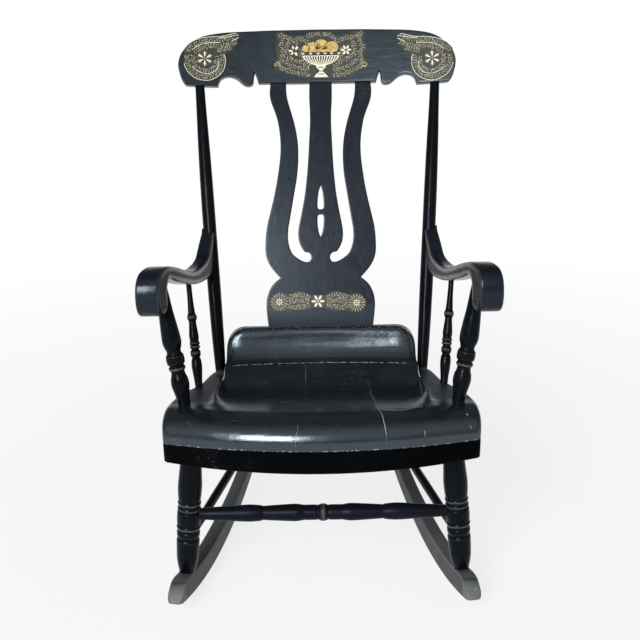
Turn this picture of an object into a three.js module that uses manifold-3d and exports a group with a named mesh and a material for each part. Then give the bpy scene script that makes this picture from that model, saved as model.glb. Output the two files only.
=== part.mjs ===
// A boston rocking chair: a rolled plank seat on turned, splayed legs and bowed rockers,
// with scrolled arms, bent back posts, a pierced splat and a shaped crest rail.
//
// Millimetres, +Z up. The front of the chair faces -Y, and X runs across it: the pieces named
// left lie at -X, on the left of someone who looks at the front. Depths are measured back from
// the front corners of the seat, heights from the floor, and half widths from the middle.

import * as THREE from "three";
import { mergeVertices } from "three/addons/utils/BufferGeometryUtils.js";
import Module from "manifold-3d";

const wasm = await Module();
wasm.setup();

// Fits

const clearance = 0.3; // air between a tenon and its socket, and between seated faces
const overrun = 20; // how far a cutting solid runs past the surface that it opens

// Seat plank: sawn from one thick blank that tilts down to the back, dished between the sides

const plank = {
  halfWidth: 282.5,
  depth: 432,
  frontBow: 57,
  cornerTop: 423.5,
  thickness: 55.6,
  slopeDegrees: 7,
  noseHeight: 8,
  noseDepth: 64,
  dishDepth: 27,
  dishStart: 10,
  wellGap: 6,
  frontRamp: 50,
  rearRamp: 5,
  wellStart: 70,
  wellFallShare: 0.0844,
  outerFallShare: 0.04,
  rowCrowdingShare: 1.3,
};

// Half width of the plank along its depth, as [share of depth, share of half width]
const plankOutlineShares = [
  [0, 0.99],
  [0.03, 1],
  [0.23, 1],
  [0.35, 0.989],
  [0.46, 0.947],
  [0.58, 0.897],
  [0.69, 0.861],
  [0.82, 0.847],
  [0.93, 0.828],
  [1, 0.8],
];

// Block glued under the front edge of the plank

const frontRoll = { bottom: 328, rear: 36, tuck: 4 };

// Roll glued on the rear of the plank, which holds the splat

const rearRoll = {
  halfWidth: 197,
  front: 362,
  top: 440.5,
  planCurve: 16,
  cornerRadius: 38,
  mortise: 18,
};

// Section of the rear roll as [share of the way from its front to the rear edge of the plank,
// share of its height], up the hollow front and then up the leaning rear
const rollFrontShares = [
  [0, 0],
  [0.12, 0.05],
  [0.25, 0.13],
  [0.4, 0.3],
  [0.5, 0.48],
  [0.57, 0.68],
  [0.61, 0.85],
  [0.66, 0.96],
  [0.76, 1],
];
const rollRearShares = [
  [1, 0],
  [1.01, 0.12],
  [1.02, 0.24],
  [1.035, 0.38],
  [1.05, 0.52],
  [1.065, 0.66],
  [1.075, 0.77],
  [1.06, 0.85],
  [1, 0.9],
];

// Back: its frame stands in the rear of the plank and leans back, and the posts bend in it

const back = {
  baseDepth: 390,
  baseHeight: 348.5,
  rakeDegrees: 19.9,
  postLength: 608,
  bend: 12,
  footHalfWidth: 211.4,
  headHalfWidth: 248.5,
  postRadius: 13.9,
  footTenon: 20,
  headTenon: 44,
  headTenonRadius: 6.5,
};

// Back post as [share of length, share of radius], foot to head
const backPostShares = [
  [0, 0.76],
  [0.06, 0.84],
  [0.12, 0.907],
  [0.2, 0.96],
  [0.32, 0.996],
  [0.43, 1],
  [0.54, 0.995],
  [0.68, 0.96],
  [0.82, 0.863],
  [0.92, 0.76],
  [1, 0.705],
];

const crest = { halfWidth: 292, height: 126.4, thickness: 22, planCurve: 38, planOffset: 27.2 };

// Lower edge of half the crest as [share of half width, share of height]
const crestLowerShares = [
  [0, 0.076],
  [0.22, 0.074],
  [0.43, 0.068],
  [0.441, 0.15],
  [0.459, 0.245],
  [0.474, 0.15],
  [0.49, 0.072],
  [0.514, 0.034],
  [0.541, 0.06],
  [0.572, 0.112],
  [0.606, 0.165],
  [0.644, 0.178],
  [0.695, 0.142],
  [0.713, 0.1],
  [0.723, 0],
  [0.85, 0],
  [0.949, 0],
  [0.964, 0.085],
  [0.979, 0.18],
  [0.99, 0.253],
  [1, 0.34],
];

// Upper edge of half the crest, in the same shares
const crestUpperShares = [
  [0, 1],
  [0.12, 0.996],
  [0.325, 0.985],
  [0.48, 0.962],
  [0.64, 0.937],
  [0.73, 0.906],
  [0.836, 0.839],
  [0.911, 0.728],
  [0.949, 0.633],
  [0.971, 0.558],
  [0.99, 0.451],
  [1, 0.36],
];

const splat = {
  halfWidth: 116.3,
  thickness: 10,
  base: 93,
  baseOffset: 5,
  topOffset: 24,
  topShift: 7,
  tongue: 12,
};

// Outer edge of the splat as [share of its height from roll to crest, share of half width]
const splatOutlineShares = [
  [0, 0.937],
  [0.016, 0.948],
  [0.048, 0.966],
  [0.08, 0.979],
  [0.111, 0.977],
  [0.143, 0.943],
  [0.176, 0.86],
  [0.2, 0.732],
  [0.208, 0.747],
  [0.24, 0.877],
  [0.271, 0.958],
  [0.304, 0.997],
  [0.336, 1],
  [0.368, 0.994],
  [0.4, 0.978],
  [0.433, 0.949],
  [0.498, 0.879],
  [0.563, 0.817],
  [0.628, 0.77],
  [0.694, 0.736],
  [0.761, 0.734],
  [0.826, 0.771],
  [0.86, 0.807],
  [0.893, 0.859],
  [0.927, 0.912],
  [0.962, 0.932],
  [1, 0.92],
];

// The opening beside the middle strand as [share of half width, share of height], from the top
// of the middle strand down to the curl at its foot, and up along the outer strand
const splatSlotShares = [
  [0.206, 1],
  [0.207, 0.927],
  [0.198, 0.893],
  [0.194, 0.86],
  [0.194, 0.826],
  [0.208, 0.761],
  [0.223, 0.694],
  [0.243, 0.628],
  [0.272, 0.563],
  [0.315, 0.498],
  [0.372, 0.433],
  [0.399, 0.4],
  [0.405, 0.368],
  [0.373, 0.336],
  [0.3, 0.312],
  [0.275, 0.301],
  [0.235, 0.301],
  [0.19, 0.294],
  [0.17, 0.283],
  [0.185, 0.271],
  [0.225, 0.266],
  [0.29, 0.267],
  [0.352, 0.273],
  [0.46, 0.29],
  [0.523, 0.304],
  [0.575, 0.336],
  [0.592, 0.368],
  [0.586, 0.4],
  [0.562, 0.433],
  [0.513, 0.498],
  [0.464, 0.563],
  [0.421, 0.628],
  [0.405, 0.694],
  [0.42, 0.761],
  [0.473, 0.826],
  [0.514, 0.86],
  [0.558, 0.893],
  [0.601, 0.927],
  [0.626, 0.962],
  [0.632, 1],
];

// Half of each drop pierced through the middle strand, from its top down, in the same shares
const upperDropShares = [
  [0, 0.573],
  [0.034, 0.54],
  [0.06, 0.505],
  [0.048, 0.484],
  [0, 0.477],
];
const lowerDropShares = [
  [0, 0.457],
  [0.048, 0.45],
  [0.06, 0.429],
  [0.034, 0.395],
  [0, 0.367],
];

// Arms: sawn in side view, and widening from the back post to the scroll

const arm = {
  rear: 484,
  front: 24,
  rearHalfWidth: 231,
  frontHalfWidth: 295.5,
  rearThickness: 26,
  frontThickness: 42,
  scrollTop: 667.5,
  scrollDrop: 80,
  rearTrim: 5,
};

// Side view of the arm as [share of the way from its rear to its front, share of the scroll's
// drop], forward along the top, round the scroll and back along the underside
const armSideShares = [
  [-0.03, 0.2],
  [0.011, 0.309],
  [0.091, 0.605],
  [0.159, 0.877],
  [0.209, 0.932],
  [0.259, 0.938],
  [0.346, 0.907],
  [0.43, 0.84],
  [0.517, 0.675],
  [0.604, 0.49],
  [0.685, 0.315],
  [0.765, 0.16],
  [0.815, 0.07],
  [0.865, 0.012],
  [0.915, 0],
  [0.948, 0.025],
  [0.976, 0.123],
  [0.993, 0.272],
  [1, 0.457],
  [0.999, 0.63],
  [0.987, 0.827],
  [0.965, 0.944],
  [0.939, 0.994],
  [0.913, 0.994],
  [0.891, 0.951],
  [0.878, 0.864],
  [0.874, 0.654],
  [0.87, 0.506],
  [0.854, 0.407],
  [0.825, 0.358],
  [0.724, 0.568],
  [0.593, 0.84],
  [0.446, 1.123],
  [0.335, 1.284],
  [0.224, 1.395],
  [0.107, 1.42],
  [0.04, 1.25],
  [-0.03, 1.06],
];

// Turned supports of the arms, with [share of length, share of radius] from seat to arm

const armPost = {
  foot: { halfWidth: 248.4, depth: 74, height: 413 },
  head: { halfWidth: 283, depth: 99, height: 636.5 },
  radius: 17.3,
  footTenon: 24,
  headTenon: 16,
};

const armPostShares = [
  [0, 0.65],
  [0.06, 0.72],
  [0.17, 0.95],
  [0.22, 0.87],
  [0.258, 0.73],
  [0.275, 0.72],
  [0.29, 0.86],
  [0.31, 0.86],
  [0.322, 0.78],
  [0.34, 0.93],
  [0.37, 0.96],
  [0.405, 0.92],
  [0.425, 0.78],
  [0.44, 0.75],
  [0.475, 0.9],
  [0.52, 1],
  [0.62, 0.92],
  [0.75, 0.77],
  [0.88, 0.69],
  [0.97, 0.63],
  [1, 0.62],
];

const armSpindle = {
  foot: { halfWidth: 240, depth: 235, height: 379.5 },
  head: { halfWidth: 257.5, depth: 300, height: 572 },
  radius: 10.5,
  footTenon: 20,
  headTenon: 14,
};

const armSpindleShares = [
  [0, 0.68],
  [0.08, 0.76],
  [0.211, 0.98],
  [0.262, 0.92],
  [0.296, 0.72],
  [0.31, 0.9],
  [0.334, 0.96],
  [0.358, 0.88],
  [0.372, 0.72],
  [0.384, 0.94],
  [0.4, 0.98],
  [0.413, 0.8],
  [0.426, 0.98],
  [0.444, 0.84],
  [0.493, 0.9],
  [0.638, 0.7],
  [0.66, 0.84],
  [0.68, 0.9],
  [0.7, 0.84],
  [0.722, 0.7],
  [0.93, 0.5],
  [1, 0.5],
];

// Legs, with [share of length, share of radius] from rocker to seat. A foot stands on the line
// of its rocker at its own depth.

const frontLeg = {
  footDepth: 90,
  headDepth: 85,
  headHalfWidth: 238.6,
  radius: 22.8,
  headTenon: 24,
  footTenon: 24,
  footTenonRadius: 9,
};

const frontLegShares = [
  [0, 0.65],
  [0.02, 0.69],
  [0.052, 0.79],
  [0.105, 0.9],
  [0.152, 0.934],
  [0.226, 0.965],
  [0.245, 0.93],
  [0.256, 0.86],
  [0.268, 0.94],
  [0.29, 0.965],
  [0.311, 0.9],
  [0.322, 0.95],
  [0.334, 1],
  [0.345, 0.91],
  [0.358, 0.985],
  [0.397, 1],
  [0.436, 0.985],
  [0.447, 0.9],
  [0.459, 0.97],
  [0.48, 0.88],
  [0.502, 0.97],
  [0.515, 0.89],
  [0.529, 0.935],
  [0.57, 0.98],
  [0.615, 1],
  [0.68, 0.955],
  [0.752, 0.895],
  [0.86, 0.75],
  [0.96, 0.57],
  [1, 0.57],
];

const rearLeg = {
  footDepth: 515,
  headDepth: 372,
  headHalfWidth: 158,
  radius: 18,
  headTenon: 22,
  footTenon: 22,
  footTenonRadius: 8,
};

const rearLegShares = [
  [0, 0.74],
  [0.08, 0.86],
  [0.28, 0.94],
  [0.31, 0.86],
  [0.34, 0.95],
  [0.37, 0.88],
  [0.45, 1],
  [0.53, 0.9],
  [0.56, 0.97],
  [0.59, 0.88],
  [0.75, 0.98],
  [0.93, 0.66],
  [1, 0.66],
];

// Stretchers, with [share of half length, share of radius] from the middle to the end

const frontStretcher = { height: 182, radius: 16.5, tenon: 15, legRadius: 22 };

const frontStretcherShares = [
  [0, 0.98],
  [0.02, 0.95],
  [0.038, 0.84],
  [0.06, 0.86],
  [0.14, 0.87],
  [0.165, 0.94],
  [0.21, 1],
  [0.32, 0.93],
  [0.445, 0.82],
  [0.46, 0.8],
  [0.475, 0.88],
  [0.56, 0.98],
  [0.7, 0.88],
  [0.84, 0.76],
  [0.92, 0.68],
  [1, 0.68],
];

const sideStretcher = {
  frontHeight: 126,
  rearHeight: 133,
  radius: 9,
  tenon: 14,
  frontLegRadius: 21,
  rearLegRadius: 16.5,
};

const rearStretcher = { height: 158, radius: 9.5, tenon: 13, legRadius: 16.5 };

const plainStretcherShares = [
  [0, 1],
  [0.4, 0.98],
  [0.7, 0.9],
  [0.88, 0.8],
  [1, 0.8],
];

// Rockers: sawn boards that toe in to the back. Their lowest facet lies flat on the floor, under
// the balance point of the chair.

const rocker = {
  frontRadius: 800,
  rearRadius: 900,
  height: 42,
  thickness: 31,
  tailThickness: 25,
  contactDepth: 245,
  contactHalfWidth: 233.5,
  toeDegrees: 11.2,
  frontFacets: 9,
  rearFacets: 18,
  noseFacets: 2,
  facet: 24.8,
};

// Height of the rocker from its nose to its tail, as [share of length, share of height]
const rockerHeightShares = [
  [0, 1],
  [0.4, 1],
  [0.62, 0.86],
  [0.85, 0.72],
  [1, 0.58],
];

// The nose, where the top comes down to the underside, as [share of the height ahead of the
// last facet, share of the height above it], from the underside up
const rockerNoseShares = [
  [0.1, 0.03],
  [0.13, 0.1],
  [0.05, 0.19],
  [-0.14, 0.39],
  [-0.38, 0.57],
  [-0.67, 0.7],
];

// The tail's round end, as [share of its own height beyond the last facet, share of height]
const rockerTailShares = [
  [0.18, 0.04],
  [0.34, 0.17],
  [0.43, 0.38],
  [0.42, 0.62],
  [0.33, 0.83],
  [0.16, 0.96],
];

// Fasteners and hidden joinery

const dowel = { radius: 5, length: 34, spread: 120, rollDepth: 410, blockDepth: -8 };
const rockerPin = { radius: 3, length: 22, below: 12 };
const crestPin = { radius: 2.5, length: 15, rise: 22 };
const armScrew = {
  rise: 256,
  shankRadius: 2.4,
  headRadius: 4.6,
  length: 58,
  headLength: 3.4,
  headStart: 7,
  plugLength: 4,
  splayDegrees: 8.2,
  dipDegrees: 12,
};

const turningSides = 14;
const slimSides = 12;
const pinSides = 8;
const plankDishColumns = 5;
const plankRampColumns = 2;
const plankOuterColumns = 3;
const plankRows = 15;
const plankRearRows = 3;
const rollColumns = 9;
const rollCornerColumns = 4;
const crestRows = 2;
const cutterRows = 4;

// Finishes

const blackPaint = new THREE.MeshStandardMaterial({
  color: 0x1a1f27,
  roughness: 0.34,
  metalness: 0,
});
const bareWood = new THREE.MeshStandardMaterial({
  color: 0x9a7a50,
  roughness: 0.75,
  metalness: 0,
});
const steel = new THREE.MeshStandardMaterial({
  color: 0x7d7c78,
  roughness: 0.4,
  metalness: 1,
});

// Tables and solids

const radians = THREE.MathUtils.degToRad;
const mix = THREE.MathUtils.lerp;

// The value at a place along a table of rows in rising order
function along(table, place) {
  const last = table.length - 1;
  if (place <= table[0][0]) return table[0][1];
  if (place >= table[last][0]) return table[last][1];
  const next = table.findIndex((row) => row[0] >= place);
  const [from, to] = [table[next - 1], table[next]];
  return mix(from[1], to[1], (place - from[0]) / (to[0] - from[0]));
}

function solidFrom(geometry) {
  const bare = geometry.clone();
  bare.deleteAttribute("normal");
  bare.deleteAttribute("uv");
  const merged = mergeVertices(bare, clearance / 100);
  return new wasm.Manifold(
    new wasm.Mesh({
      numProp: 3,
      vertProperties: new Float32Array(merged.attributes.position.array),
      triVerts: new Uint32Array(merged.index.array),
    }),
  );
}

function geometryFrom(solid) {
  const mesh = solid.getMesh();
  const geometry = new THREE.BufferGeometry();
  const positions = new THREE.BufferAttribute(new Float32Array(mesh.vertProperties), 3);
  geometry.setAttribute("position", positions);
  geometry.setIndex(new THREE.BufferAttribute(new Uint32Array(mesh.triVerts), 1));
  geometry.computeVertexNormals();
  return geometry;
}

// Takes cutters out of a geometry, all of them in its own frame
function cut(geometry, cutters) {
  const start = solidFrom(geometry);
  return geometryFrom(cutters.reduce((solid, next) => solid.subtract(solidFrom(next)), start));
}

function join(geometry, other) {
  return geometryFrom(solidFrom(geometry).add(solidFrom(other)));
}

// Moves every vertex of a geometry by a function that changes its point
function reshape(geometry, move) {
  const positions = geometry.attributes.position;
  const point = new THREE.Vector3();
  for (let i = 0; i < positions.count; i += 1) {
    point.fromBufferAttribute(positions, i);
    move(point);
    positions.setXYZ(i, point.x, point.y, point.z);
  }
  geometry.computeVertexNormals();
  return geometry;
}

// A block of cells whose grid points are placed one by one. place(point, column, front, row)
// gets the column and row of the grid point, and whether it is on the near side.
function gridBlock(columns, rows, place) {
  const box = new THREE.BoxGeometry(1, 1, 1, columns, 1, rows);
  return reshape(box, (point) => {
    const column = Math.round((point.x + 1 / 2) * columns);
    const row = Math.round((point.z + 1 / 2) * rows);
    place(point, column, point.y < 0, row);
  });
}

// A shape drawn in depth and height, made one unit wide across the chair
function sideways(shape) {
  const slab = new THREE.ExtrudeGeometry(shape, { depth: 1, steps: 1, bevelEnabled: false });
  return reshape(slab, (point) => {
    point.set(point.z, point.x, point.y);
  });
}

// A shape drawn in width and height, made deep enough to cut through a board
function throughCut(points, reach) {
  const shape = new THREE.Shape(points);
  const slab = new THREE.ExtrudeGeometry(shape, { depth: 2 * reach, bevelEnabled: false });
  slab.rotateX(Math.PI / 2);
  slab.translate(0, reach, 0);
  return slab;
}

// A solid of revolution up +Z, closed on its axis. Each row is [height, radius].
function revolve(rows, round) {
  const last = rows.length - 1;
  const profile = [
    new THREE.Vector2(0, rows[0][0]),
    ...rows.map(([height, radius]) => new THREE.Vector2(radius, height)),
    new THREE.Vector2(0, rows[last][0]),
  ];
  const body = new THREE.LatheGeometry(profile, round);
  body.rotateX(Math.PI / 2);
  return body;
}

function rod(radius, from, to, round = turningSides) {
  return revolve(
    [
      [from, radius],
      [to, radius],
    ],
    round,
  );
}

// A turning that stands on z = 0, its ends running on at their own radius as far as given
function turning(shares, length, radius, below, above, round = turningSides) {
  const rows = shares.map(([place, size]) => [place * length, size * radius]);
  const last = rows.length - 1;
  return revolve(
    [[-below, rows[0][1]], ...rows, [length + above, rows[last][1]]],
    round,
  );
}

// Places

// The place of a piece whose own +Z runs from one point to another
function poseBetween(from, to) {
  const direction = new THREE.Vector3().subVectors(to, from).normalize();
  const upward = new THREE.Vector3(0, 0, 1);
  const turn = new THREE.Quaternion().setFromUnitVectors(upward, direction);
  return new THREE.Matrix4().compose(from, turn, new THREE.Vector3(1, 1, 1));
}

function pointAt(side, place) {
  return new THREE.Vector3(side * place.halfWidth, place.depth, place.height);
}

// A geometry that is in one place, seen from another place
function seenFrom(place, geometry, ownPlace) {
  const change = place.clone().invert().multiply(ownPlace);
  return geometry.clone().applyMatrix4(change);
}

function pieceOf(name, geometry, material, place) {
  const mesh = new THREE.Mesh(geometry, material);
  mesh.name = name;
  if (place) place.decompose(mesh.position, mesh.quaternion, mesh.scale);
  return mesh;
}

const here = new THREE.Matrix4();
const sideName = (side) => (side < 0 ? "left" : "right");
const sides = [-1, 1];

// Seat surfaces

const plankSlope = Math.tan(radians(plank.slopeDegrees));
const blankTop = (depth) => plank.cornerTop - depth * plankSlope;
const plankUnderside = (depth) => blankTop(depth) - plank.thickness;
const plankHalfWidth = (depth) =>
  plank.halfWidth * along(plankOutlineShares, depth / plank.depth);
const plankFront = (share) => plank.frontBow * (share * share - 1);
const rollFront = (x) => rearRoll.front - rearRoll.planCurve * (x / rearRoll.halfWidth) ** 2;

// Where the dish ends and where the lower sides of the seat begin, at a depth
const wellEdge = rearRoll.halfWidth + plank.wellGap;

function dishShare(x, depth) {
  const reach = (depth - plank.dishStart) / (rollFront(x) - plank.dishStart);
  return Math.min(Math.max(reach, 0), 1);
}

// Half width at a column: the columns crowd on the ramp between the dish and the sides
function plankColumn(column, depth) {
  const inner = wellEdge - mix(plank.frontRamp, plank.rearRamp, dishShare(0, depth));
  const rampStart = plankDishColumns;
  const rampEnd = plankDishColumns + plankRampColumns;
  if (column <= rampStart) return (inner * column) / rampStart;
  if (column <= rampEnd) return mix(inner, wellEdge, (column - rampStart) / plankRampColumns);
  return mix(wellEdge, plankHalfWidth(depth), (column - rampEnd) / plankOuterColumns);
}

// Height of the seat: the blank, less the dish, the fall to the rear sides and the front curve
function seatTop(x, depth, front) {
  const side = Math.abs(x);
  const along01 = dishShare(x, depth);
  const ramp = mix(plank.frontRamp, plank.rearRamp, along01);
  const blend = THREE.MathUtils.smoothstep(side, wellEdge - ramp, wellEdge);
  const dish = plank.dishDepth * Math.sin(Math.PI * along01 * along01);
  const well = plank.wellFallShare * Math.max(depth - plank.wellStart, 0);
  const fall = plank.outerFallShare * Math.max(side - wellEdge, 0);
  const fromFront = Math.min((depth - front) / plank.noseDepth, 1);
  const drop = plank.thickness - plank.noseHeight;
  const nose = drop * (1 - Math.sqrt(1 - (1 - fromFront) ** 2));
  return blankTop(depth) - mix(dish, well, blend) - fall - nose;
}

function plankBlank() {
  const half = plankDishColumns + plankRampColumns + plankOuterColumns;
  const rows = plankRows + plankRearRows;
  const box = new THREE.BoxGeometry(1, 1, 1, 2 * half, rows, 1);
  return reshape(box, (point) => {
    const column = Math.round(2 * half * point.x);
    const row = Math.round(rows * (point.y + 1 / 2));
    const side = Math.sign(column);
    const count = Math.abs(column);
    const front = plankFront(plankColumn(count, 0) / plank.halfWidth);
    const seam = rollFront(plankColumn(count, rearRoll.front));
    const reach = Math.min(row / plankRows, 1) ** plank.rowCrowdingShare;
    const beyond = Math.max(row - plankRows, 0) / plankRearRows;
    const depth = mix(mix(front, seam, reach), plank.depth, beyond);
    const x = side * plankColumn(count, depth);
    point.set(x, depth, point.z > 0 ? seatTop(x, depth, front) : plankUnderside(depth));
  });
}

function frontRollBlank() {
  const half = plankDishColumns + plankRampColumns + plankOuterColumns;
  return gridBlock(2 * half, 2, (point, column, near, row) => {
    const share = column / half - 1;
    const down = 1 - row / 2;
    const front = plankFront(share) + frontRoll.tuck * down * down;
    const depth = near ? front : frontRoll.rear;
    const top = plankUnderside(depth) - clearance;
    const width = mix(plankHalfWidth(0), plankHalfWidth(frontRoll.rear), near ? 0 : 1);
    point.set(share * width, depth, mix(top, frontRoll.bottom, down));
  });
}

// Half widths of the roll's columns, close together where its top corners are round
function rollColumn(column) {
  const flat = rollColumns - rollCornerColumns;
  const turnStart = rearRoll.halfWidth - rearRoll.cornerRadius;
  if (column <= flat) return (turnStart * column) / flat;
  const turn = ((column - flat) / rollCornerColumns) * (Math.PI / 2);
  return turnStart + rearRoll.cornerRadius * Math.sin(turn);
}

function rearRollBlank() {
  const rows = rollFrontShares.length - 1;
  return gridBlock(2 * rollColumns, rows, (point, column, near, row) => {
    const side = Math.sign(column - rollColumns);
    const x = side * rollColumn(Math.abs(column - rollColumns));
    const inTurn = Math.max(Math.abs(x) - rearRoll.halfWidth + rearRoll.cornerRadius, 0);
    const turn = Math.min(inTurn / rearRoll.cornerRadius, 1);
    const top = rearRoll.top - rearRoll.cornerRadius * (1 - Math.sqrt(1 - turn * turn));
    const [back01, rise] = (near ? rollFrontShares : rollRearShares)[row];
    const curve = near ? rollFront(x) - rearRoll.front : 0;
    const plain = mix(rearRoll.front, plank.depth, back01);
    const depth = plain + curve * (1 - rise / 2);
    const rest = blankTop(depth) + clearance;
    point.set(x, depth, mix(rest, top, rise));
  });
}

// Back frame: x across, y backwards and z up the rake, from a point between the posts' feet

const backBend = (z) => -4 * back.bend * (z / back.postLength) * (1 - z / back.postLength);
const backPlace = new THREE.Matrix4()
  .makeTranslation(0, back.baseDepth, back.baseHeight)
  .multiply(new THREE.Matrix4().makeRotationX(-radians(back.rakeDegrees)));

function postBent(geometry, side) {
  return reshape(geometry, (point) => {
    const share = point.z / back.postLength;
    point.x += side * mix(back.footHalfWidth, back.headHalfWidth, share);
    point.y += backBend(point.z);
  });
}

function backPostBlank(side, extra) {
  const shoulder = back.postLength - clearance;
  const rows = backPostShares.map(([place, size]) => [
    place * shoulder,
    size * back.postRadius + extra,
  ]);
  return postBent(
    revolve(
      [
        [-back.footTenon, rows[0][1]],
        ...rows,
        [shoulder, back.headTenonRadius + extra],
        [back.postLength + back.headTenon, back.headTenonRadius + extra],
      ],
      turningSides,
    ),
    side,
  );
}

// Socket of a post's foot or head, bent with the post
function postSocket(side, radius, from, to) {
  const rows = Array.from({ length: cutterRows + 1 }, (_, i) => [
    mix(from, to, i / cutterRows),
    radius + clearance,
  ]);
  return postBent(revolve(rows, turningSides), side);
}

// Middle surface of the crest: its distance behind the back frame's plane
const crestMiddle = (x, z) =>
  crest.planOffset - crest.planCurve * (x / crest.halfWidth) ** 2 + backBend(z);

function crestBlank() {
  const knots = [...crestLowerShares, ...crestUpperShares].map((row) => row[0]);
  const shares = [...new Set(knots)].sort((a, b) => a - b);
  const half = shares.length - 1;
  return gridBlock(2 * half, crestRows, (point, column, near, row) => {
    const side = Math.sign(column - half);
    const share = shares[Math.abs(column - half)];
    const low = back.postLength + crest.height * along(crestLowerShares, share);
    const high = back.postLength + crest.height * along(crestUpperShares, share);
    const x = side * share * crest.halfWidth;
    const z = mix(low, high, row / crestRows);
    const thickness = (near ? -1 : 1) * (crest.thickness / 2);
    point.set(x, crestMiddle(x, z) + thickness, z);
  });
}

const splatTop = back.postLength + crest.height * along(crestLowerShares, 0);
const splatHeight = splatTop - splat.base;
const splatHalfWidth = (z) =>
  splat.halfWidth * along(splatOutlineShares, (z - splat.base) / splatHeight);
const splatMiddle = (z) =>
  mix(splat.baseOffset, splat.topOffset, (z - splat.base) / splatHeight) + backBend(z);

// The splat's head stands a little to one side of the middle, as a hand-fitted board can
const splatShift = (z) => (splat.topShift * (z - splat.base)) / splatHeight;

// A slab that follows the splat, between two edges and two heights
function splatSlab(leftEdge, rightEdge, heights, thickness) {
  const rows = heights.length - 1;
  return gridBlock(1, rows, (point, column, near, row) => {
    const z = heights[row];
    const x = column === 0 ? leftEdge(z) : rightEdge(z);
    point.set(x + splatShift(z), splatMiddle(z) + (near ? -thickness : thickness) / 2, z);
  });
}

function splatPoints(shares, side) {
  return shares.map(([across, up]) => {
    const z = splat.base + up * splatHeight;
    return new THREE.Vector2(side * across * splat.halfWidth + splatShift(z), z);
  });
}

function splatBoard() {
  const knots = splatOutlineShares.map((row) => splat.base + row[0] * splatHeight);
  const heights = [splat.base - rearRoll.mortise, ...knots, splatTop + splat.tongue];
  const slab = splatSlab((z) => -splatHalfWidth(z), splatHalfWidth, heights, splat.thickness);
  const reach = splat.topOffset + splat.thickness + overrun;
  const slots = sides.map((side) => {
    const edge = splatPoints(splatSlotShares, side);
    const last = edge.length - 1;
    const above = splatTop + splat.tongue + overrun;
    const points = [
      new THREE.Vector2(edge[0].x, above),
      ...edge,
      new THREE.Vector2(edge[last].x, above),
    ];
    return throughCut(points, reach);
  });
  const drops = [upperDropShares, lowerDropShares].map((shares) => {
    const right = splatPoints(shares, 1);
    const left = splatPoints(shares, -1).slice(1, -1).reverse();
    return throughCut([...right, ...left], reach);
  });
  return cut(slab, [...slots, ...drops]);
}

// Mortises in the crest for the three strands of the splat
function splatMortises() {
  const last = splatSlotShares.length - 1;
  const inner = splat.halfWidth * splatSlotShares[last][0];
  const middle = splat.halfWidth * splatSlotShares[0][0];
  const outer = splatHalfWidth(splatTop);
  const heights = [splatTop - overrun, splatTop, splatTop + splat.tongue + clearance];
  const strands = [
    [-outer, -inner],
    [-middle, middle],
    [inner, outer],
  ];
  return strands.map(([left, right]) =>
    splatSlab(
      () => left - clearance,
      () => right + clearance,
      heights,
      splat.thickness + 2 * clearance,
    ),
  );
}

function splatRollMortise() {
  const low = splat.base - rearRoll.mortise - clearance;
  return splatSlab(
    (z) => -splatHalfWidth(z) - clearance,
    (z) => splatHalfWidth(z) + clearance,
    [low, splat.base, splat.base + overrun],
    splat.thickness + 2 * clearance,
  );
}

// Rockers

const rockerToe = radians(rocker.toeDegrees);
const rockerHalfWidth = (depth) =>
  rocker.contactHalfWidth + (rocker.contactDepth - depth) * Math.tan(rockerToe);

function rockerPlace(side) {
  return new THREE.Matrix4()
    .makeTranslation(side * rocker.contactHalfWidth, rocker.contactDepth, 0)
    .multiply(new THREE.Matrix4().makeRotationZ(side * rockerToe));
}

function rockerUnderside(reach) {
  const radius = reach < 0 ? rocker.frontRadius : rocker.rearRadius;
  return (reach ** 2 - (rocker.facet / 2) ** 2) / (2 * radius);
}

// How far along the rocker a distance from the contact is, as a share of its length
function rockerShare(reach) {
  const start = (rocker.frontFacets + 1 / 2) * rocker.facet;
  return (reach + start) / (start + (rocker.rearFacets + 1 / 2) * rocker.facet);
}

const rockerTop = (reach) =>
  rockerUnderside(reach) + rocker.height * along(rockerHeightShares, rockerShare(reach));
const rockerThickness = (reach) =>
  mix(rocker.thickness, rocker.tailThickness, rockerShare(reach));

function rockerBoard(extra, raise) {
  const count = rocker.frontFacets + rocker.rearFacets + 2;
  const start = -(rocker.frontFacets + 1 / 2) * rocker.facet;
  const reaches = Array.from({ length: count }, (_, i) => start + i * rocker.facet);
  const end = reaches[count - 1];
  const tall = rockerTop(end) - rockerUnderside(end);
  const low = reaches.map((reach) => new THREE.Vector2(reach, rockerUnderside(reach)));
  const tail = rockerTailShares.map(
    ([out, up]) => new THREE.Vector2(end + out * tall, rockerUnderside(end) + up * tall),
  );
  const high = reaches
    .slice(rocker.noseFacets)
    .reverse()
    .map((reach) => new THREE.Vector2(reach, rockerTop(reach) + raise));
  const nose = rockerNoseShares
    .map(
      ([out, up]) =>
        new THREE.Vector2(
          start - out * rocker.height,
          rockerUnderside(start) + up * rocker.height,
        ),
    )
    .reverse();
  const outline = new THREE.Shape([...low, ...tail, ...high, ...nose]);
  return reshape(sideways(outline), (point) => {
    point.x = (point.x - 1 / 2) * (rockerThickness(point.y) + extra);
  });
}

// Foot of a leg: the point of its axis on the rocker's top
function legFoot(side, leg) {
  const reach = (leg.footDepth - rocker.contactDepth) / Math.cos(rockerToe);
  return new THREE.Vector3(side * rockerHalfWidth(leg.footDepth), leg.footDepth, rockerTop(reach));
}

function legHead(side, leg) {
  const height = plankUnderside(leg.headDepth);
  return new THREE.Vector3(side * leg.headHalfWidth, leg.headDepth, height);
}

// The point of a leg's axis at a height
function legAxisAt(side, leg, height) {
  const [foot, head] = [legFoot(side, leg), legHead(side, leg)];
  return foot.clone().lerp(head, (height - foot.z) / (head.z - foot.z));
}

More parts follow.
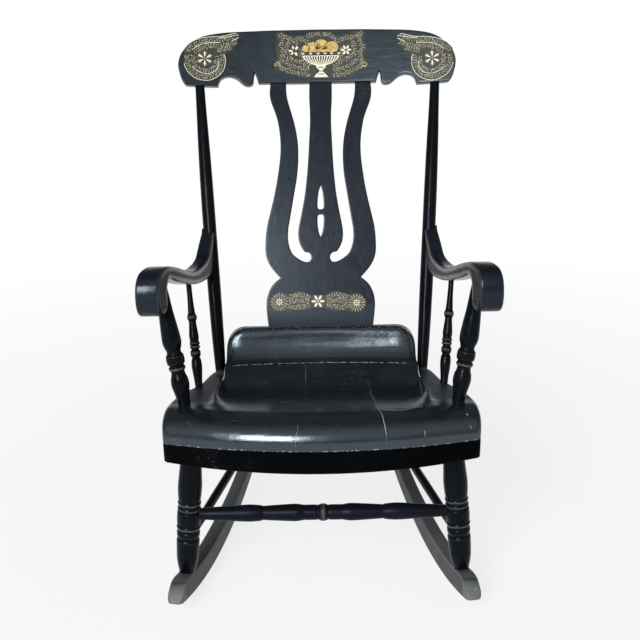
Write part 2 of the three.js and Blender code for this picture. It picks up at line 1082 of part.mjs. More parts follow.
// A leg scribed to its rocker's top, with a slimmer tenon that goes into the rocker
function legSolid(side, leg, shares, place, length) {
  const body = turning(shares, length, leg.radius, leg.radius / 2, leg.headTenon);
  const board = rockerBoard(2 * leg.radius, clearance);
  const scribed = cut(body, [seenFrom(place, board, rockerPlace(side))]);
  return join(scribed, rod(leg.footTenonRadius, -leg.footTenon, leg.radius));
}

// Pieces of the base

const supports = sides.map((side) => {
  const build = (leg, shares) => {
    const [foot, head] = [legFoot(side, leg), legHead(side, leg)];
    const place = poseBetween(foot, head);
    const length = foot.distanceTo(head);
    return { leg, foot, head, place, length, solid: legSolid(side, leg, shares, place, length) };
  };
  return { side, front: build(frontLeg, frontLegShares), rear: build(rearLeg, rearLegShares) };
});

// A stretcher between two points on the axes of legs, as far into each as its tenon goes
function stretcherBetween(from, to, insets, shares, radius, round) {
  const place = poseBetween(from, to);
  const span = from.distanceTo(to);
  const [start, end] = [insets[0], span - insets[1]];
  const middle = (start + end) / 2;
  const half = (end - start) / 2;
  const rising = shares.map(([place01, size]) => [middle + half * place01, radius * size]);
  const falling = rising.slice(1).map(([height, size]) => [2 * middle - height, size]).reverse();
  const rows = [...falling, ...rising];
  const size = rows[0][1] + clearance;
  const sockets = [
    rod(size, start - clearance, start + 2 * overrun, round),
    rod(size, end - 2 * overrun, end + clearance, round),
  ];
  return { place, solid: revolve(rows, round), sockets };
}

const frontInset = frontStretcher.legRadius - frontStretcher.tenon;
const frontBar = stretcherBetween(
  legAxisAt(-1, frontLeg, frontStretcher.height),
  legAxisAt(1, frontLeg, frontStretcher.height),
  [frontInset, frontInset],
  frontStretcherShares,
  frontStretcher.radius,
  turningSides,
);

const rearInset = rearStretcher.legRadius - rearStretcher.tenon;
const rearBar = stretcherBetween(
  legAxisAt(-1, rearLeg, rearStretcher.height),
  legAxisAt(1, rearLeg, rearStretcher.height),
  [rearInset, rearInset],
  plainStretcherShares,
  rearStretcher.radius,
  slimSides,
);

const sideBars = sides.map((side) =>
  stretcherBetween(
    legAxisAt(side, frontLeg, sideStretcher.frontHeight),
    legAxisAt(side, rearLeg, sideStretcher.rearHeight),
    [
      sideStretcher.frontLegRadius - sideStretcher.tenon,
      sideStretcher.rearLegRadius - sideStretcher.tenon,
    ],
    plainStretcherShares,
    sideStretcher.radius,
    slimSides,
  ),
);

// Pins through the rockers' outer faces into the feet
function rockerPinPlace(side, support) {
  const reach = (support.leg.footDepth - rocker.contactDepth) / Math.cos(rockerToe);
  const outer = (side * rockerThickness(reach)) / 2;
  const local = new THREE.Matrix4()
    .makeTranslation(outer, reach, rockerTop(reach) - rockerPin.below)
    .multiply(new THREE.Matrix4().makeRotationY((-side * Math.PI) / 2));
  return rockerPlace(side).multiply(local);
}

const rockerPinSolid = rod(rockerPin.radius, 0, rockerPin.length, pinSides);
const rockerPinHole = rod(
  rockerPin.radius + clearance,
  -overrun,
  rockerPin.length + clearance,
  pinSides,
);

const baseGroup = new THREE.Group();
baseGroup.name = "base";

supports.forEach(({ side, front, rear }, index) => {
  const name = sideName(side);
  const bar = sideBars[index];
  const board = rockerPlace(side);
  const legs = [
    ["front", front, frontBar],
    ["rear", rear, rearBar],
  ];
  const holes = [];
  legs.forEach(([end, support, crossBar]) => {
    const pin = rockerPinPlace(side, support);
    const cutters = [
      ...crossBar.sockets.map((socket) => seenFrom(support.place, socket, crossBar.place)),
      ...bar.sockets.map((socket) => seenFrom(support.place, socket, bar.place)),
      seenFrom(support.place, rockerPinHole, pin),
    ];
    const solid = cut(support.solid, cutters);
    baseGroup.add(pieceOf(`${end}_leg_${name}`, solid, blackPaint, support.place));
    baseGroup.add(pieceOf(`rocker_pin_${end}_${name}`, rockerPinSolid, blackPaint, pin));
    const tenonHole = rod(
      support.leg.footTenonRadius + clearance,
      -support.leg.footTenon - clearance,
      overrun,
    );
    holes.push(seenFrom(board, tenonHole, support.place), seenFrom(board, rockerPinHole, pin));
  });
  const runner = cut(rockerBoard(0, 0), holes);
  baseGroup.add(pieceOf(`rocker_${name}`, runner, blackPaint, board));
  baseGroup.add(pieceOf(`side_stretcher_${name}`, bar.solid, blackPaint, bar.place));
});
baseGroup.add(pieceOf("front_stretcher", frontBar.solid, blackPaint, frontBar.place));
baseGroup.add(pieceOf("rear_stretcher", rearBar.solid, blackPaint, rearBar.place));

// Pieces of the back

const backGroup = new THREE.Group();
backGroup.name = "back";
backPlace.decompose(backGroup.position, backGroup.quaternion, backGroup.scale);

// The crest's pins run along its thickness, from its rear face into the post's tenon
function crestPinPlace(side) {
  const z = back.postLength + crestPin.rise;
  const x = side * mix(back.footHalfWidth, back.headHalfWidth, z / back.postLength);
  const rearFace = crestMiddle(x, z) + crest.thickness / 2;
  return new THREE.Matrix4()
    .makeTranslation(x, rearFace, z)
    .multiply(new THREE.Matrix4().makeRotationX(Math.PI / 2));
}

const crestPinSolid = rod(crestPin.radius, 0, crestPin.length, pinSides);
const crestPinHole = rod(
  crestPin.radius + clearance,
  -overrun,
  crestPin.length + clearance,
  pinSides,
);

// The arm's screw runs forward from the rear of the post, along the arm's middle line
function armScrewPlace(side) {
  const x = side * mix(back.footHalfWidth, back.headHalfWidth, armScrew.rise / back.postLength);
  const onPost = new THREE.Vector3(x, backBend(armScrew.rise), armScrew.rise).applyMatrix4(backPlace);
  const splay = radians(armScrew.splayDegrees);
  const ahead = new THREE.Vector3(side * Math.sin(splay), -Math.cos(splay), 0);
  ahead.z = -Math.tan(radians(armScrew.dipDegrees));
  return poseBetween(onPost, onPost.clone().add(ahead));
}

const screwHead = -armScrew.headStart;
const screwTail = screwHead + armScrew.length;
const screwSolid = revolve(
  [
    [screwHead - armScrew.headLength, armScrew.headRadius],
    [screwHead, armScrew.headRadius],
    [screwHead, armScrew.shankRadius],
    [screwTail - armScrew.headLength, armScrew.shankRadius],
    [screwTail, armScrew.shankRadius / 3],
  ],
  pinSides,
);
const screwHole = revolve(
  [
    [screwHead - overrun, armScrew.headRadius + clearance],
    [screwHead + clearance, armScrew.headRadius + clearance],
    [screwHead + clearance, armScrew.shankRadius + clearance],
    [screwTail + clearance, armScrew.shankRadius + clearance],
  ],
  pinSides,
);
const plugEnd = screwHead - armScrew.headLength - clearance;
const plugSolid = rod(armScrew.headRadius, plugEnd - armScrew.plugLength, plugEnd, pinSides);

const crestCuts = [...splatMortises()];
sides.forEach((side) => {
  const name = sideName(side);
  const pin = crestPinPlace(side);
  const screw = armScrewPlace(side);
  const post = cut(backPostBlank(side, 0), [
    seenFrom(here, crestPinHole, pin),
    seenFrom(backPlace, screwHole, screw),
  ]);
  backGroup.add(pieceOf(`back_post_${name}`, post, blackPaint));
  backGroup.add(pieceOf(`crest_pin_${name}`, crestPinSolid, blackPaint, pin));
  const head = back.postLength + back.headTenon + clearance;
  crestCuts.push(
    postSocket(side, back.headTenonRadius, back.postLength - overrun, head),
    seenFrom(here, crestPinHole, pin),
  );
});
backGroup.add(pieceOf("crest_rail", cut(crestBlank(), crestCuts), blackPaint));
backGroup.add(pieceOf("back_splat", splatBoard(), blackPaint));

// Arms and their supports

const armCentre = (depth) =>
  mix(arm.rearHalfWidth, arm.frontHalfWidth, (arm.rear - depth) / (arm.rear - arm.front));
const armWidth = (depth) =>
  mix(arm.rearThickness, arm.frontThickness, (arm.rear - depth) / (arm.rear - arm.front));

function armBlank(side) {
  const points = armSideShares.map(
    ([reach, drop]) =>
      new THREE.Vector2(
        mix(arm.rear, arm.front, reach),
        arm.scrollTop - drop * arm.scrollDrop,
      ),
  );
  return reshape(sideways(new THREE.Shape(points)), (point) => {
    point.x = side * armCentre(point.y) + (point.x - 1 / 2) * armWidth(point.y);
  });
}

// Takes off the arm's rear end along the post, and hollows it to hug the post
function armSolid(side, sockets) {
  const reach = arm.rear - arm.front;
  const wall = new THREE.BoxGeometry(reach, reach, 2 * reach);
  const middle = armScrew.rise;
  wall.translate(side * arm.rearHalfWidth, backBend(middle) + reach / 2 - arm.rearTrim, middle);
  const post = backPostBlank(side, clearance);
  const inChair = [wall, post].map((cutter) => seenFrom(here, cutter, backPlace));
  return cut(armBlank(side), [...inChair, ...sockets]);
}

const armGroup = new THREE.Group();
armGroup.name = "arms";
const seatCuts = [];

sides.forEach((side) => {
  const name = sideName(side);
  const turned = [
    ["arm_post", armPost, armPostShares, turningSides],
    ["arm_spindle", armSpindle, armSpindleShares, slimSides],
  ];
  const armCuts = [];
  turned.forEach(([label, support, shares, round]) => {
    const [foot, head] = [pointAt(side, support.foot), pointAt(side, support.head)];
    const place = poseBetween(foot, head);
    const length = foot.distanceTo(head);
    const { radius, footTenon, headTenon } = support;
    const solid = turning(shares, length, radius, footTenon, headTenon, round);
    armGroup.add(pieceOf(`${label}_${name}`, solid, blackPaint, place));
    const last = shares.length - 1;
    const footHole = rod(
      shares[0][1] * radius + clearance,
      -footTenon - clearance,
      overrun,
      round,
    );
    const headHole = rod(
      shares[last][1] * radius + clearance,
      length - overrun,
      length + headTenon + clearance,
      round,
    );
    seatCuts.push(seenFrom(here, footHole, place));
    armCuts.push(seenFrom(here, headHole, place));
  });
  const screw = armScrewPlace(side);
  armCuts.push(seenFrom(here, screwHole, screw));
  armGroup.add(pieceOf(`arm_${name}`, armSolid(side, armCuts), blackPaint));
  armGroup.add(pieceOf(`arm_screw_${name}`, screwSolid, steel, screw));
  armGroup.add(pieceOf(`arm_screw_plug_${name}`, plugSolid, blackPaint, screw));
});

// Seat

const seatGroup = new THREE.Group();
seatGroup.name = "seat";

supports.forEach(({ side, front, rear }) => {
  [front, rear].forEach((support) => {
    const shares = support.leg === frontLeg ? frontLegShares : rearLegShares;
    const last = shares.length - 1;
    const hole = rod(
      shares[last][1] * support.leg.radius + clearance,
      support.length - overrun,
      support.length + support.leg.headTenon + clearance,
    );
    seatCuts.push(seenFrom(here, hole, support.place));
  });
  const socket = postSocket(
    side,
    backPostShares[0][1] * back.postRadius,
    -back.footTenon - clearance,
    overrun,
  );
  seatCuts.push(seenFrom(here, socket, backPlace));
});

// Dowels that stand across the glued faces of the plank, at right angles to them
const dowelSolid = rod(dowel.radius, -dowel.length / 2, dowel.length / 2, pinSides);
const dowelHole = rod(
  dowel.radius + clearance,
  -dowel.length / 2 - clearance,
  dowel.length / 2 + clearance,
  pinSides,
);
const rollCuts = [seenFrom(here, splatRollMortise(), backPlace)];
const blockCuts = [];
const dowelRows = [
  ["rear_roll_dowel", dowel.rollDepth, blankTop, rollCuts],
  ["front_roll_dowel", dowel.blockDepth, plankUnderside, blockCuts],
];
dowelRows.forEach(([label, depth, face, cuts]) => {
  [
    ["left", -dowel.spread],
    ["middle", 0],
    ["right", dowel.spread],
  ].forEach(([spot, x]) => {
    const place = new THREE.Matrix4()
      .makeTranslation(x, depth, face(depth))
      .multiply(new THREE.Matrix4().makeRotationX(-radians(plank.slopeDegrees)));
    seatGroup.add(pieceOf(`${label}_${spot}`, dowelSolid, bareWood, place));
    cuts.push(seenFrom(here, dowelHole, place));
    seatCuts.push(seenFrom(here, dowelHole, place));
  });
});

seatGroup.add(pieceOf("seat_plank", cut(plankBlank(), seatCuts), blackPaint));
seatGroup.add(pieceOf("seat_front_roll", cut(frontRollBlank(), blockCuts), blackPaint));
seatGroup.add(pieceOf("seat_rear_roll", cut(rearRollBlank(), rollCuts), blackPaint));

// The chair, centred on its own bounds

const chair = new THREE.Group();
chair.name = "boston_rocking_chair";
chair.add(baseGroup, seatGroup, backGroup, armGroup);
chair.updateMatrixWorld(true);
const bounds = new THREE.Box3().setFromObject(chair, true);
chair.position.y = -(bounds.min.y + bounds.max.y) / 2;
chair.updateMatrixWorld(true);

export default chair;
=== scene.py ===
"""A boston rocking chair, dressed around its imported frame.

The shapes are worked out in millimetres in the chair's own measures: x across the chair, depth
back from the front corners of the seat, and height from the floor. They are put into the
frame, in metres, as the last step of each piece.
"""

import logging
import math
from dataclasses import dataclass, field
from enum import Enum
from typing import Callable, Optional, Sequence

import bmesh
import bpy
import numpy as np
from mathutils import Matrix, Vector
from mathutils.geometry import delaunay_2d_cdt

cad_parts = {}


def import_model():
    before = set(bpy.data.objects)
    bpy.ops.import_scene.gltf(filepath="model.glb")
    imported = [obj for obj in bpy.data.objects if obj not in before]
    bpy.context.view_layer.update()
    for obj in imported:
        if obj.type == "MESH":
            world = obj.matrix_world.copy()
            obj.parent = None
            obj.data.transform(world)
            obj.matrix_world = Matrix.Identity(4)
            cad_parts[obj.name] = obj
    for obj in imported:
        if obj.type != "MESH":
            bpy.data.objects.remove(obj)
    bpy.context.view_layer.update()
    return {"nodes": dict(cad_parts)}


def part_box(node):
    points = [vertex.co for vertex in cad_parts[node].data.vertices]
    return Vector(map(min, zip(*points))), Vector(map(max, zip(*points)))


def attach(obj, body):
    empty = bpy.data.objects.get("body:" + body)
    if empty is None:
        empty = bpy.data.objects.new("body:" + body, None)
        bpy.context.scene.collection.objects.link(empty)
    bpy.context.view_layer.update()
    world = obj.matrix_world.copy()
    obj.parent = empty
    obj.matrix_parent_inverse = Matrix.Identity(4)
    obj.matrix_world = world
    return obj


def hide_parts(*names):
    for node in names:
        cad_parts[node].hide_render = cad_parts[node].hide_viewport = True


Array = np.ndarray
Pair = tuple[float, float]
Triple = tuple[float, float, float]
Table = Sequence[Pair]
Lay = Callable[[Array, float], Array]
Socket = bpy.types.NodeSocket
LOG = logging.getLogger("rocking_chair")
MILLIMETRE = 0.001
BODY = "root"
SEED = 1840
CURVE_READINGS = 24  # readings of a curve for each of its points, before the even ones
TURNING_SIDES = 44
TURNING_ROWS = 60  # the least rows of a turning, which has one for each millimetre
BEAD_ROWS = 15  # rows over which a turning's radius is averaged, to find its beads
EDGE_WEAR = 0.66  # how much the edges of a board are rubbed
CALM = 2.5  # how far a board's faces stay free of loose points, in radii of its edge
CALM_SHARE = 0.85  # the share of that distance within which loose points are left out
SINK = 0.4  # how far a stencil's plates reach into the wood, in millimetres


class Side(Enum):
    """The two sides of the chair, as someone who looks at its front sees them."""

    LEFT = -1
    RIGHT = 1

    @property
    def label(self) -> str:
        """The side's name in piece names."""
        return self.name.lower()


class Grain(Enum):
    """The way that brush strokes and wood grain run, as the pattern's scale along x, y and z."""

    ACROSS = (5.0, 90.0, 90.0)
    BACKWARD = (90.0, 5.0, 90.0)
    UPWARD = (90.0, 90.0, 5.0)


class Layer(Enum):
    """How far each layer of the stencil stands on the paint below it, in millimetres."""

    GROUND = 0.08
    LEAVES = 0.18
    BODIES = 0.3
    SHADES = 0.5
    LIGHTS = 0.62


# Curves and tables


def rising(table: Table, places: Array) -> Array:
    """Reads a table with a smooth curve that never swings past its rows.

    The curve is cubic between rows. Its slope at a row is the harmonic mean of the slopes on
    both sides, or zero where these differ in sign, so a bead stays round and a neck stays flat.

    Args:
        table: rows of place and value, in rising order of place.
        places: where to read it.

    Returns:
        The values, in the shape of places.
    """
    rows = np.asarray(table, float)
    at, value = rows[:, 0], rows[:, 1]
    gap = np.diff(at)
    slope = np.diff(value) / gap
    left, right = slope[:-1], slope[1:]
    same = left * right > 0
    inner = np.where(same, 2 * left * right / np.where(same, left + right, 1), 0)
    tangent = np.concatenate([slope[:1], inner, slope[-1:]])
    spot = np.clip(places, at[0], at[-1])
    cell = np.clip(np.searchsorted(at, spot, side="right") - 1, 0, len(gap) - 1)
    t = (spot - at[cell]) / gap[cell]
    start = (1 + 2 * t) * (1 - t) ** 2 * value[cell] + t * (1 - t) ** 2 * gap[cell] * tangent[cell]
    end = t * t * (3 - 2 * t) * value[cell + 1] + t * t * (t - 1) * gap[cell] * tangent[cell + 1]
    return start + end


def spline(points: Array, spacing: float) -> Array:
    """Runs a natural cubic curve through points and reads it at even steps.

    The curve's parameter is the square root of the chord from point to point, summed. Its second
    derivatives solve the usual band of equations, with none at the ends.

    Args:
        points: the points, one row each, in order.
        spacing: the step along the curve.

    Returns:
        The read points, with both ends.
    """
    chord = np.linalg.norm(np.diff(points, axis=0), axis=1)
    length = chord.sum()
    steps = max(int(round(length / spacing)), 1)
    if len(points) < 3:
        share = np.linspace(0, 1, steps + 1)[:, None]
        return points[0] * (1 - share) + points[-1] * share
    knot = np.concatenate([[0], np.cumsum(np.sqrt(chord))])
    gap = np.diff(knot)
    slope = np.diff(points, axis=0) / gap[:, None]
    band = np.diag(2 * (gap[:-1] + gap[1:])) + np.diag(gap[1:-1], 1) + np.diag(gap[1:-1], -1)
    bend = np.zeros_like(points)
    bend[1:-1] = np.linalg.solve(band, 6 * np.diff(slope, axis=0))
    fine = np.linspace(0, knot[-1], CURVE_READINGS * len(points))
    where = curve_at(fine, knot, points, bend)
    run = np.concatenate([[0], np.cumsum(np.linalg.norm(np.diff(where, axis=0), axis=1))])
    even = np.interp(np.linspace(0, run[-1], steps + 1), run, fine)
    return curve_at(even, knot, points, bend)


def curve_at(places: Array, knot: Array, points: Array, bend: Array) -> Array:
    """Reads a cubic curve, given its second derivative at each knot.

    Args:
        places: where to read it, in the knots' own measure.
        knot: the knots.
        points: the points at the knots.
        bend: the second derivatives at the knots.

    Returns:
        One point for each place.
    """
    cell = np.clip(np.searchsorted(knot, places, side="right") - 1, 0, len(knot) - 2)
    gap = (knot[cell + 1] - knot[cell])[:, None]
    after = (places - knot[cell])[:, None] / gap
    before = 1 - after
    pull = (before**3 - before) * bend[cell] + (after**3 - after) * bend[cell + 1]
    return before * points[cell] + after * points[cell + 1] + pull * gap**2 / 6


def outline(points: Array, corners: Sequence[int], spacing: float) -> Array:
    """A closed outline: smooth curves that meet at the corners.

    Args:
        points: the outline's points, in order.
        corners: the rows of points that are sharp, in order.
        spacing: the step along the outline.

    Returns:
        The dense closed outline, without its first point again at the end.
    """
    ring = np.roll(points, -corners[0], axis=0)
    marks = [corner - corners[0] for corner in corners] + [len(points)]
    ring = np.vstack([ring, ring[:1]])
    runs = [spline(ring[a : b + 1], spacing)[:-1] for a, b in zip(marks[:-1], marks[1:])]
    return np.vstack(runs)


def inward(ring: Array) -> Array:
    """The way into the material at each point of a closed outline, longer at sharp corners.

    It is the sum of the two edges' unit normals, divided by one plus their product, which keeps
    both edges' distance, and held to one and a half times that distance.

    Args:
        ring: the outline, counter-clockwise around material.

    Returns:
        One vector for each point.
    """
    edge = np.roll(ring, -1, axis=0) - ring
    edge /= np.linalg.norm(edge, axis=1)[:, None] + 1e-12
    normal = np.stack([-edge[:, 1], edge[:, 0]], axis=1)
    before = np.roll(normal, 1, axis=0)
    both = normal + before
    both /= 1 + np.sum(normal * before, axis=1)[:, None] + 1e-3
    reach = np.linalg.norm(both, axis=1)[:, None]
    return both * np.minimum(1, 1.5 / (reach + 1e-9))


def area(ring: Array) -> float:
    """The signed area of a closed outline, positive when it runs counter-clockwise."""
    x, y = ring[:, 0], ring[:, 1]
    return float(np.sum(x * np.roll(y, -1) - y * np.roll(x, -1)) / 2)


def inside(ring: Array, places: Array) -> Array:
    """Which places lie inside an outline: a ray from them crosses it an odd number of times.

    Args:
        ring: the closed outline.
        places: the places, one row each.

    Returns:
        A flag for each place.
    """
    start, end = ring, np.roll(ring, -1, axis=0)
    y = places[:, 1:2]
    spans = (start[:, 1] > y) != (end[:, 1] > y)
    rise = end[:, 1] - start[:, 1]
    rise = np.where(rise == 0, 1e-12, rise)
    cross = start[:, 0] + (y - start[:, 1]) / rise * (end[:, 0] - start[:, 0])
    return np.sum(spans & (places[:, 0:1] < cross), axis=1) % 2 == 1


def smoothstep(value: Array, low: float | Array, high: float | Array) -> Array:
    """Zero below low, one above high, and three t squared less two t cubed between."""
    t = np.clip((value - low) / (high - low), 0, 1)
    return t * t * (3 - 2 * t)


def mix(start: float | Array, end: float | Array, share: float | Array) -> float | Array:
    """The value at a share of the way from start to end."""
    return start + (end - start) * share


def eased(share: Array) -> Array:
    """How far a quarter circle falls away: one less the root of one less the share squared."""
    return 1 - np.sqrt(1 - share**2)


def circle(angle: Array) -> Array:
    """Points of a circle with a radius of one, at angles in radians."""
    return np.stack([np.cos(angle), np.sin(angle)], axis=1)


def spots(x: Array, depth: Array, height: Array) -> Array:
    """Points of three coordinates."""
    return np.stack([x, depth, height], axis=-1)


# Meshes


@dataclass
class Form:
    """A closed surface in the chair's own measures.

    Attributes:
        points: its points, one row each, in millimetres.
        faces: its faces, as rows of point numbers.
        wear: how exposed each point is to rubbing, up to 1; below 0 the paint is matt. On
            the turnings' beads it is partly painted highlight, and on the rockers' tops painted
            sheen.
    """

    points: Array
    faces: list[list[int]]
    wear: Array

    def volume(self) -> float:
        """Sums the volumes between the origin and the faces of three and four corners.

        Returns:
            Six times the signed volume, which is positive when the faces point outwards.
        """
        fans = [face for face in self.faces if len(face) == 3]
        quads = np.array([face for face in self.faces if len(face) == 4]).reshape(-1, 4)
        halves = np.vstack([quads[:, [0, 1, 2]], quads[:, [0, 2, 3]]])
        triangles = np.vstack([np.array(fans).reshape(-1, 3), halves]).astype(int)
        a, b, c = (self.points[triangles[:, k]] for k in range(3))
        return float(np.sum(a * np.cross(b, c)))

    def outward(self) -> "Form":
        """Turns its faces to point out of it.

        Returns:
            The form itself.
        """
        if self.volume() < 0:
            self.faces = [face[::-1] for face in self.faces]
        return self

    def merged(self, other: "Form") -> "Form":
        """Joins this form and another one.

        Args:
            other: the other form, whose points come after this one's.

        Returns:
            Both in a single form.
        """
        count = len(self.points)
        moved = (np.array(face) + count for face in other.faces)
        faces = self.faces + [face.tolist() for face in moved]
        wear = np.concatenate([self.wear, other.wear])
        return Form(np.vstack([self.points, other.points]), faces, wear)


def grid_faces(rows: int, columns: int, first: int, closed: bool) -> list[list[int]]:
    """The quads of a grid of points.

    Args:
        rows: the number of rows.
        columns: the number of points in a row.
        first: the number of the grid's first point.
        closed: whether the last column joins the first one.

    Returns:
        The quads.
    """
    across = columns if closed else columns - 1
    row = np.arange(rows - 1)[:, None]
    column = np.arange(across)[None, :]
    after = (column + 1) % columns
    corner = [
        row * columns + column,
        row * columns + after,
        (row + 1) * columns + after,
        (row + 1) * columns + column,
    ]
    return (np.stack(corner, axis=-1).reshape(-1, 4) + first).tolist()


def tube(rings: Array, wear: Array) -> Form:
    """A closed skin over rings of points, its two ends closed by fans on their centres.

    Args:
        rings: the points, as [ring, place around, xyz].
        wear: how exposed each ring is.

    Returns:
        The form.
    """
    rows, columns = rings.shape[:2]
    ends = np.stack([rings[0].mean(axis=0), rings[-1].mean(axis=0)])
    points = np.vstack([rings.reshape(-1, 3), ends])
    faces = grid_faces(rows, columns, 0, True)
    around = np.arange(columns)
    after = (around + 1) % columns
    low, high = rows * columns, rows * columns + 1
    last = (rows - 1) * columns
    faces += np.stack([after, around, np.full(columns, low)], axis=1).tolist()
    faces += np.stack([last + around, last + after, np.full(columns, high)], axis=1).tolist()
    each = np.repeat(wear, columns)
    return Form(points, faces, np.concatenate([each, wear[:1], wear[-1:]])).outward()


def slab(near: Array, far: Array, near_wear: Array, far_wear: Array) -> Form:
    """A solid between two sheets of points with the same grid, stitched all around their rims.

    Args:
        near: one sheet, as [row, column, xyz].
        far: the other sheet.
        near_wear: how exposed each point of the near sheet is.
        far_wear: the same for the far sheet.

    Returns:
        The form.
    """
    rows, columns = near.shape[:2]
    count = rows * columns
    front = grid_faces(rows, columns, 0, False)
    rear = [face[::-1] for face in grid_faces(rows, columns, count, False)]
    number = np.arange(count).reshape(rows, columns)
    borders = (number[0, :-1], number[:-1, -1], number[-1, :0:-1], number[:0:-1, 0])
    rim = np.concatenate(borders)
    after = np.roll(rim, -1)
    side = np.stack([after, rim, rim + count, after + count], axis=1).tolist()
    points = np.vstack([near.reshape(-1, 3), far.reshape(-1, 3)])
    wear = np.concatenate([near_wear.ravel(), far_wear.ravel()])
    return Form(points, front + rear + side, wear).outward()


def between(rings: Sequence[Array], places: Array) -> Array:
    """Which places lie inside the first outline and outside all others."""
    holes = [inside(ring, places) for ring in rings[1:]]
    return inside(rings[0], places) & ~np.any(holes, axis=0)


def loose_points(rings: Sequence[Array], rows: Sequence[Array], calm: float, step: float) -> Array:
    """The points within a board's faces: a square grid, and a row along each outline.

    Those that are nearer to an outline than a share of the calm distance are left out.

    Args:
        rings: the outlines, the outer one first.
        rows: the rows along them.
        calm: how far the rows stand in from the outlines.
        step: the step of the grid.

    Returns:
        The points.
    """
    low, high = rings[0].min(axis=0), rings[0].max(axis=0)
    steps = (np.arange(low[k] + step / 2, high[k], step) for k in range(2))
    grid = np.stack(np.meshgrid(*steps), axis=-1).reshape(-1, 2)
    points = np.vstack([grid, *rows])
    points = points[between(rings, points)]
    far = np.min(np.sum((points[:, None] - np.vstack(rings)) ** 2, axis=2), axis=1)
    return points[far > (CALM_SHARE * calm) ** 2]


def triangulated(loops: Sequence[Array], loose: Array) -> tuple[Array, Array, Array]:
    """Fills outlines with triangles that use their points and loose ones.

    Args:
        loops: the outlines, the outer one first.
        loose: the loose points.

    Returns:
        The corners, the triangles between the outlines, and each corner's number among the
        points that were given, or minus one.
    """
    links, start = [], 0
    for loop in loops:
        number = np.arange(len(loop))
        links.append(start + np.stack([number, np.roll(number, -1)], axis=1))
        start += len(loop)
    flat = np.vstack([*loops, loose]).tolist()
    solved = delaunay_2d_cdt(flat, np.vstack(links).tolist(), [], 0, 1e-5)
    corners, triangles = np.array(solved[0]), np.array(solved[2])
    source = np.array([row[0] if row else -1 for row in solved[3]])
    return corners, triangles[between(loops, corners[triangles].mean(axis=1))], source


def board(
    rings: Sequence[Array],
    place: Callable[[Array, float, float], Array],
    round_edge: float,
    spacing: float,
    steps: int = 3,
) -> Form:
    """A sawn board with eased edges: an outline with holes, bent in space by a function.

    Each outline steps in from the edge as a quarter circle does: by the edge's radius times one
    less the sine of the angle, while it sinks by the radius times one less the cosine. The
    faces are triangles over the innermost outlines and a loose grid of points between them.

    Args:
        rings: the outer outline and then the holes.
        place: puts flat points in space, given which face and how far beneath it they lie.
        round_edge: the radius of the edges.
        spacing: the step of the points inside the faces.
        steps: the number of facets of a rounded edge.

    Returns:
        The form.
    """
    turned = [
        ring if (area(ring) > 0) == (k == 0) else ring[::-1] for k, ring in enumerate(rings)
    ]
    ways = [inward(ring) for ring in turned]
    angle = np.linspace(0, math.pi / 2, steps + 1)
    insets = round_edge * (1 - np.sin(angle))
    sinks = round_edge * (1 - np.cos(angle))
    levels = [(-1, insets[k], sinks[k]) for k in range(steps + 1)]
    levels += [(1, inset, sink) for _, inset, sink in reversed(levels)]
    rise = 0.2 + 0.8 * np.sin(2 * angle)
    exposure = EDGE_WEAR * np.concatenate([rise, rise[::-1]])
    points, wear, faces, rims, first = [], [], [], [], 0
    for ring, way in zip(turned, ways):
        around = len(ring)
        stack = [place(ring + way * inset, face, sink) for face, inset, sink in levels]
        points.append(np.vstack(stack))
        wear.append(np.repeat(exposure, around))
        faces += grid_faces(len(levels), around, first, True)
        rims.append(first + np.arange(around))
        first += len(levels) * around
    calm = CALM * round_edge
    loops = [ring + way * insets[0] for ring, way in zip(turned, ways)]
    rows = [ring + way * calm for ring, way in zip(turned, ways)]
    inner = loose_points(turned, rows, calm, spacing)
    corners, triangles, source = triangulated(loops, inner)
    last = len(levels) - 1
    front = np.concatenate(rims)
    rear = np.concatenate([rim + last * len(ring) for rim, ring in zip(rims, turned)])
    loose = (source < 0) | (source >= len(front))
    extra = int(loose.sum())
    for face, rim in ((-1, front), (1, rear)):
        table = np.zeros(len(corners), int)
        table[~loose] = rim[source[~loose]]
        table[loose] = first + np.arange(extra)
        points.append(place(corners[loose], face, 0.0))
        wear.append(np.zeros(extra))
        first += extra
        skin = table[triangles]
        faces += (skin[:, ::-1] if face < 0 else skin).tolist()
    return settle(Form(np.vstack(points), faces, np.concatenate(wear)))


def settle(shape: Form) -> Form:
    """Turns all faces of a form the same way by its mesh, and then outwards.

    Args:
        shape: the form, closed, with faces that may not agree.

    Returns:
        The form with its faces pointing out of it.
    """
    mesh = bpy.data.meshes.new("settling")
    mesh.from_pydata(shape.points.tolist(), [], shape.faces)
    grown = bmesh.new()
    grown.from_mesh(mesh)
    bmesh.ops.recalc_face_normals(grown, faces=grown.faces[:])
    shape.faces = [[corner.index for corner in face.verts] for face in grown.faces]
    grown.free()
    bpy.data.meshes.remove(mesh)
    return shape.outward()


@dataclass
class Pose:
    """The place of a turning: the point of its foot and the way its axis runs."""

    foot: Array
    head: Array

    @property
    def length(self) -> float:
        """The length of the axis."""
        return float(np.linalg.norm(self.head - self.foot))

    def put(self, points: Array) -> Array:
        """Puts points with the axis as their z into the chair.

        Args:
            points: points whose last axis is x, y and z.

        Returns:
            The points, turned by the two directions at right angles to the axis.
        """
        up = (self.head - self.foot) / self.length
        side = np.cross(np.array([0.0, 1.0, 0.0]), up)
        side /= np.linalg.norm(side)
        ahead = np.cross(up, side)
        return points @ np.stack([side, ahead, up]) + self.foot

    def at_height(self, height: float) -> Array:
        """The point of the axis at a height."""
        share = (height - self.foot[2]) / (self.head[2] - self.foot[2])
        return self.foot + share * (self.head - self.foot)


